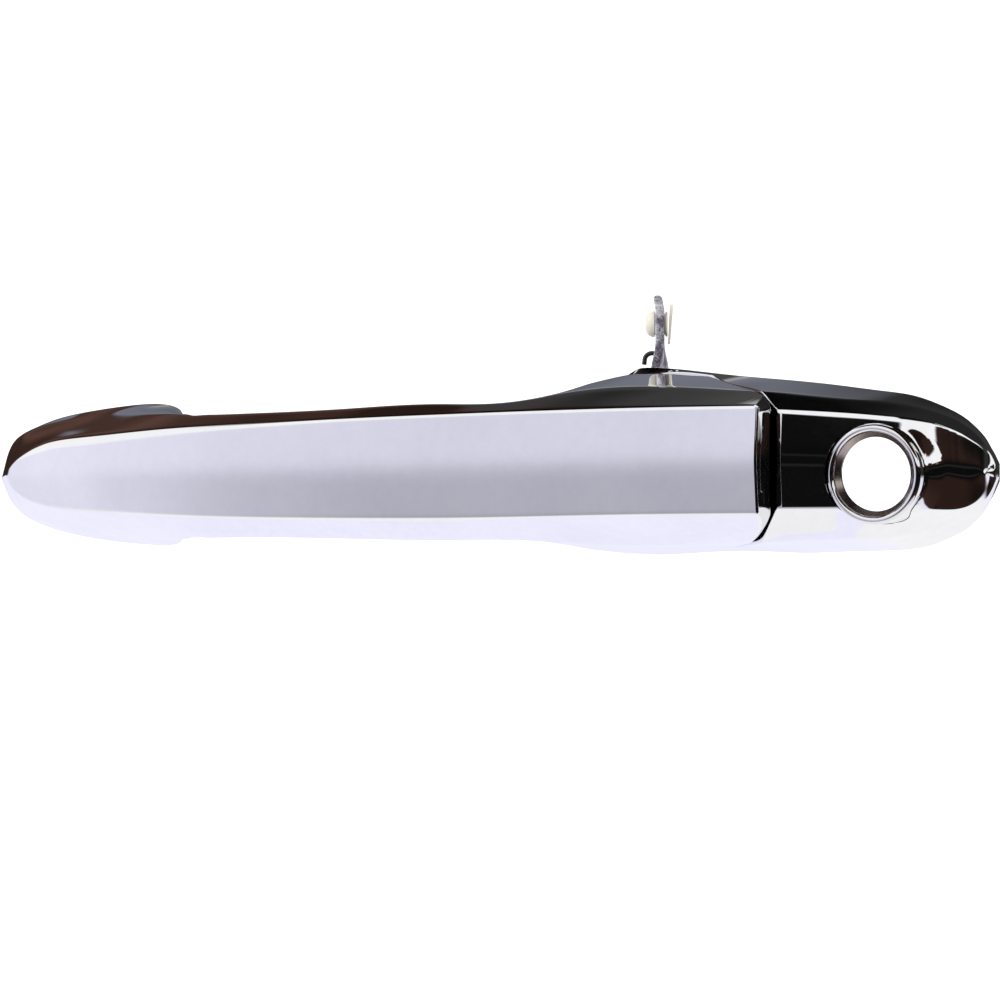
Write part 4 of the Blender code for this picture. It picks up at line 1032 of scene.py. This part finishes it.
# what polished metal sees on each panel: (degrees above the horizon, colour), from low to high
LAVENDER = (0.98, 0.97, 1.12)
BROWN = (1.5, 0.78, 0.6)
BLUE = (0.92, 0.97, 1.15)
REAR_RIGHT = [
    (-20, grey(252)), (-6, grey(245, LAVENDER)), (-1, grey(40)), (8, grey(54)), (14, grey(48)),
    (17, grey(38)), (40, grey(20)), (60, grey(8))
]
REAR_MIDDLE = [
    (-20, grey(250, LAVENDER)), (-2, grey(240, LAVENDER)), (2, grey(84, BLUE)),
    (10, grey(108, BLUE)), (15.5, grey(122, BLUE)), (17.5, grey(160)), (20, grey(72)),
    (29, grey(60)), (34, grey(14)), (60, grey(6))
]
REAR_LEFT = [
    (-20, grey(250, LAVENDER)), (-2, grey(240, LAVENDER)), (2, grey(70, BLUE)),
    (8, grey(100, BLUE)), (20.2, grey(118, BLUE)), (21.2, grey(56, BROWN)), (24, grey(72, BROWN)),
    (28, grey(60, BROWN)), (32, grey(34, BROWN)), (50, grey(8))
]
NOSE_LEFT = [
    (-20, grey(250, LAVENDER)), (-2, grey(240, LAVENDER)), (2, grey(40, BROWN)),
    (16, grey(46, BROWN)), (24, grey(70, BROWN)), (34, grey(40, BROWN)), (50, grey(8))
]
FAR_LEFT = [
    (-50, grey(252)), (-20, grey(233, LAVENDER)), (12, grey(241, LAVENDER)), (15, grey(255)),
    (46, grey(255)), (52, grey(40, BROWN)), (62, grey(8))
]
LEFT = [
    (-55, grey(250)), (-24, grey(172, LAVENDER)), (14.5, grey(226, LAVENDER)), (17, grey(255)),
    (62, grey(255)), (70, grey(14))
]
RIGHT = [
    (-60, grey(250)), (-25, grey(176, LAVENDER)), (-21, grey(16)), (-10, grey(14)), (-7, grey(34)),
    (-5, grey(12)), (3, grey(14)), (5, grey(32)), (7, grey(12)), (14.3, grey(14)),
    (15.2, grey(255)), (62, grey(252)), (75, grey(20)), (85, grey(8))
]
SIDE = [
    (-60, grey(252)), (-37, grey(235, LAVENDER)), (-33, grey(40, BROWN)), (-14, grey(14)),
    (-2, grey(10)), (6, grey(30, BROWN)), (10.6, grey(24, BROWN)), (11.6, grey(255)),
    (24, grey(252)), (28, grey(30, BROWN)), (75, grey(8))
]


def nose_panel(edge, top):
    """Dark panel with two faint lines, white between two rises above the horizon."""
    return [(-60, grey(252)), (-37, grey(240, LAVENDER)), (-33, grey(46, BROWN)),
            (-10, grey(34, BROWN)), (-7, grey(12)), (-5.5, grey(36)), (-4, grey(12)), (3, grey(12)),
            (4.5, grey(36)), (6, grey(14)), (edge - 0.5, grey(40, BROWN)), (edge, grey(255)),
            (top, grey(255)), (top + 3, grey(40, BROWN)), (80, grey(8))]


# the turns, in degrees from -Y towards +X, over which each panel takes over from the one before
PANELS = [
    (-180, -180, REAR_RIGHT), (-161, -157.5, REAR_MIDDLE), (-149.5, -147.5, REAR_LEFT),
    (-142.6, -140.6, NOSE_LEFT), (-118, -110, FAR_LEFT), (-66, -34, LEFT), (-19, -14, RIGHT),
    (20, 26, SIDE), (94, 102, nose_panel(12.9, 20)), (110, 114, nose_panel(11.8, 18)),
    (119, 122, nose_panel(10.0, 18)), (127.5, 130, nose_panel(8.3, 40)), (144, 152, REAR_RIGHT)
]

LAMP_PLACE, LAMP_TARGET = Vector((-0.5, -0.9, 0.9)), Vector((-0.07, 0, 0))
CAMERA_PLACE = Vector((0.45197, -1.09839, 0.02094))
CAMERA_TARGET = Vector((-0.06353, -0.01503, -0.00690))
CAMERA_LENS, CAMERA_SENSOR = 191.34, 36.0


def aimed(name, data, place_at, target):
    """Object at a place that looks at a target."""
    made = bpy.data.objects.new(name, data)
    made.location = place_at
    made.rotation_euler = (target - place_at).to_track_quat("-Z", "Y").to_euler()
    bpy.context.scene.collection.objects.link(made)
    return made


def make_lights():
    key = bpy.data.lights.new("key", "AREA")
    key.shape = "RECTANGLE"
    key.size, key.size_y = 0.8, 0.5
    key.energy = 6.0
    lamp = aimed("key", key, LAMP_PLACE, LAMP_TARGET)
    lamp.visible_glossy = False
    lamp.visible_camera = False


def make_camera():
    """Looks at the handle from 26 degrees to the right and 1 degree above."""
    camera = bpy.data.cameras.new("camera")
    camera.lens, camera.sensor_width = CAMERA_LENS, CAMERA_SENSOR
    camera.clip_end = 20.0
    bpy.context.scene.camera = aimed("camera", camera, CAMERA_PLACE, CAMERA_TARGET)


make_floor()
make_world()
make_lights()
make_camera()
bpy.context.scene.view_settings.view_transform = "Standard"
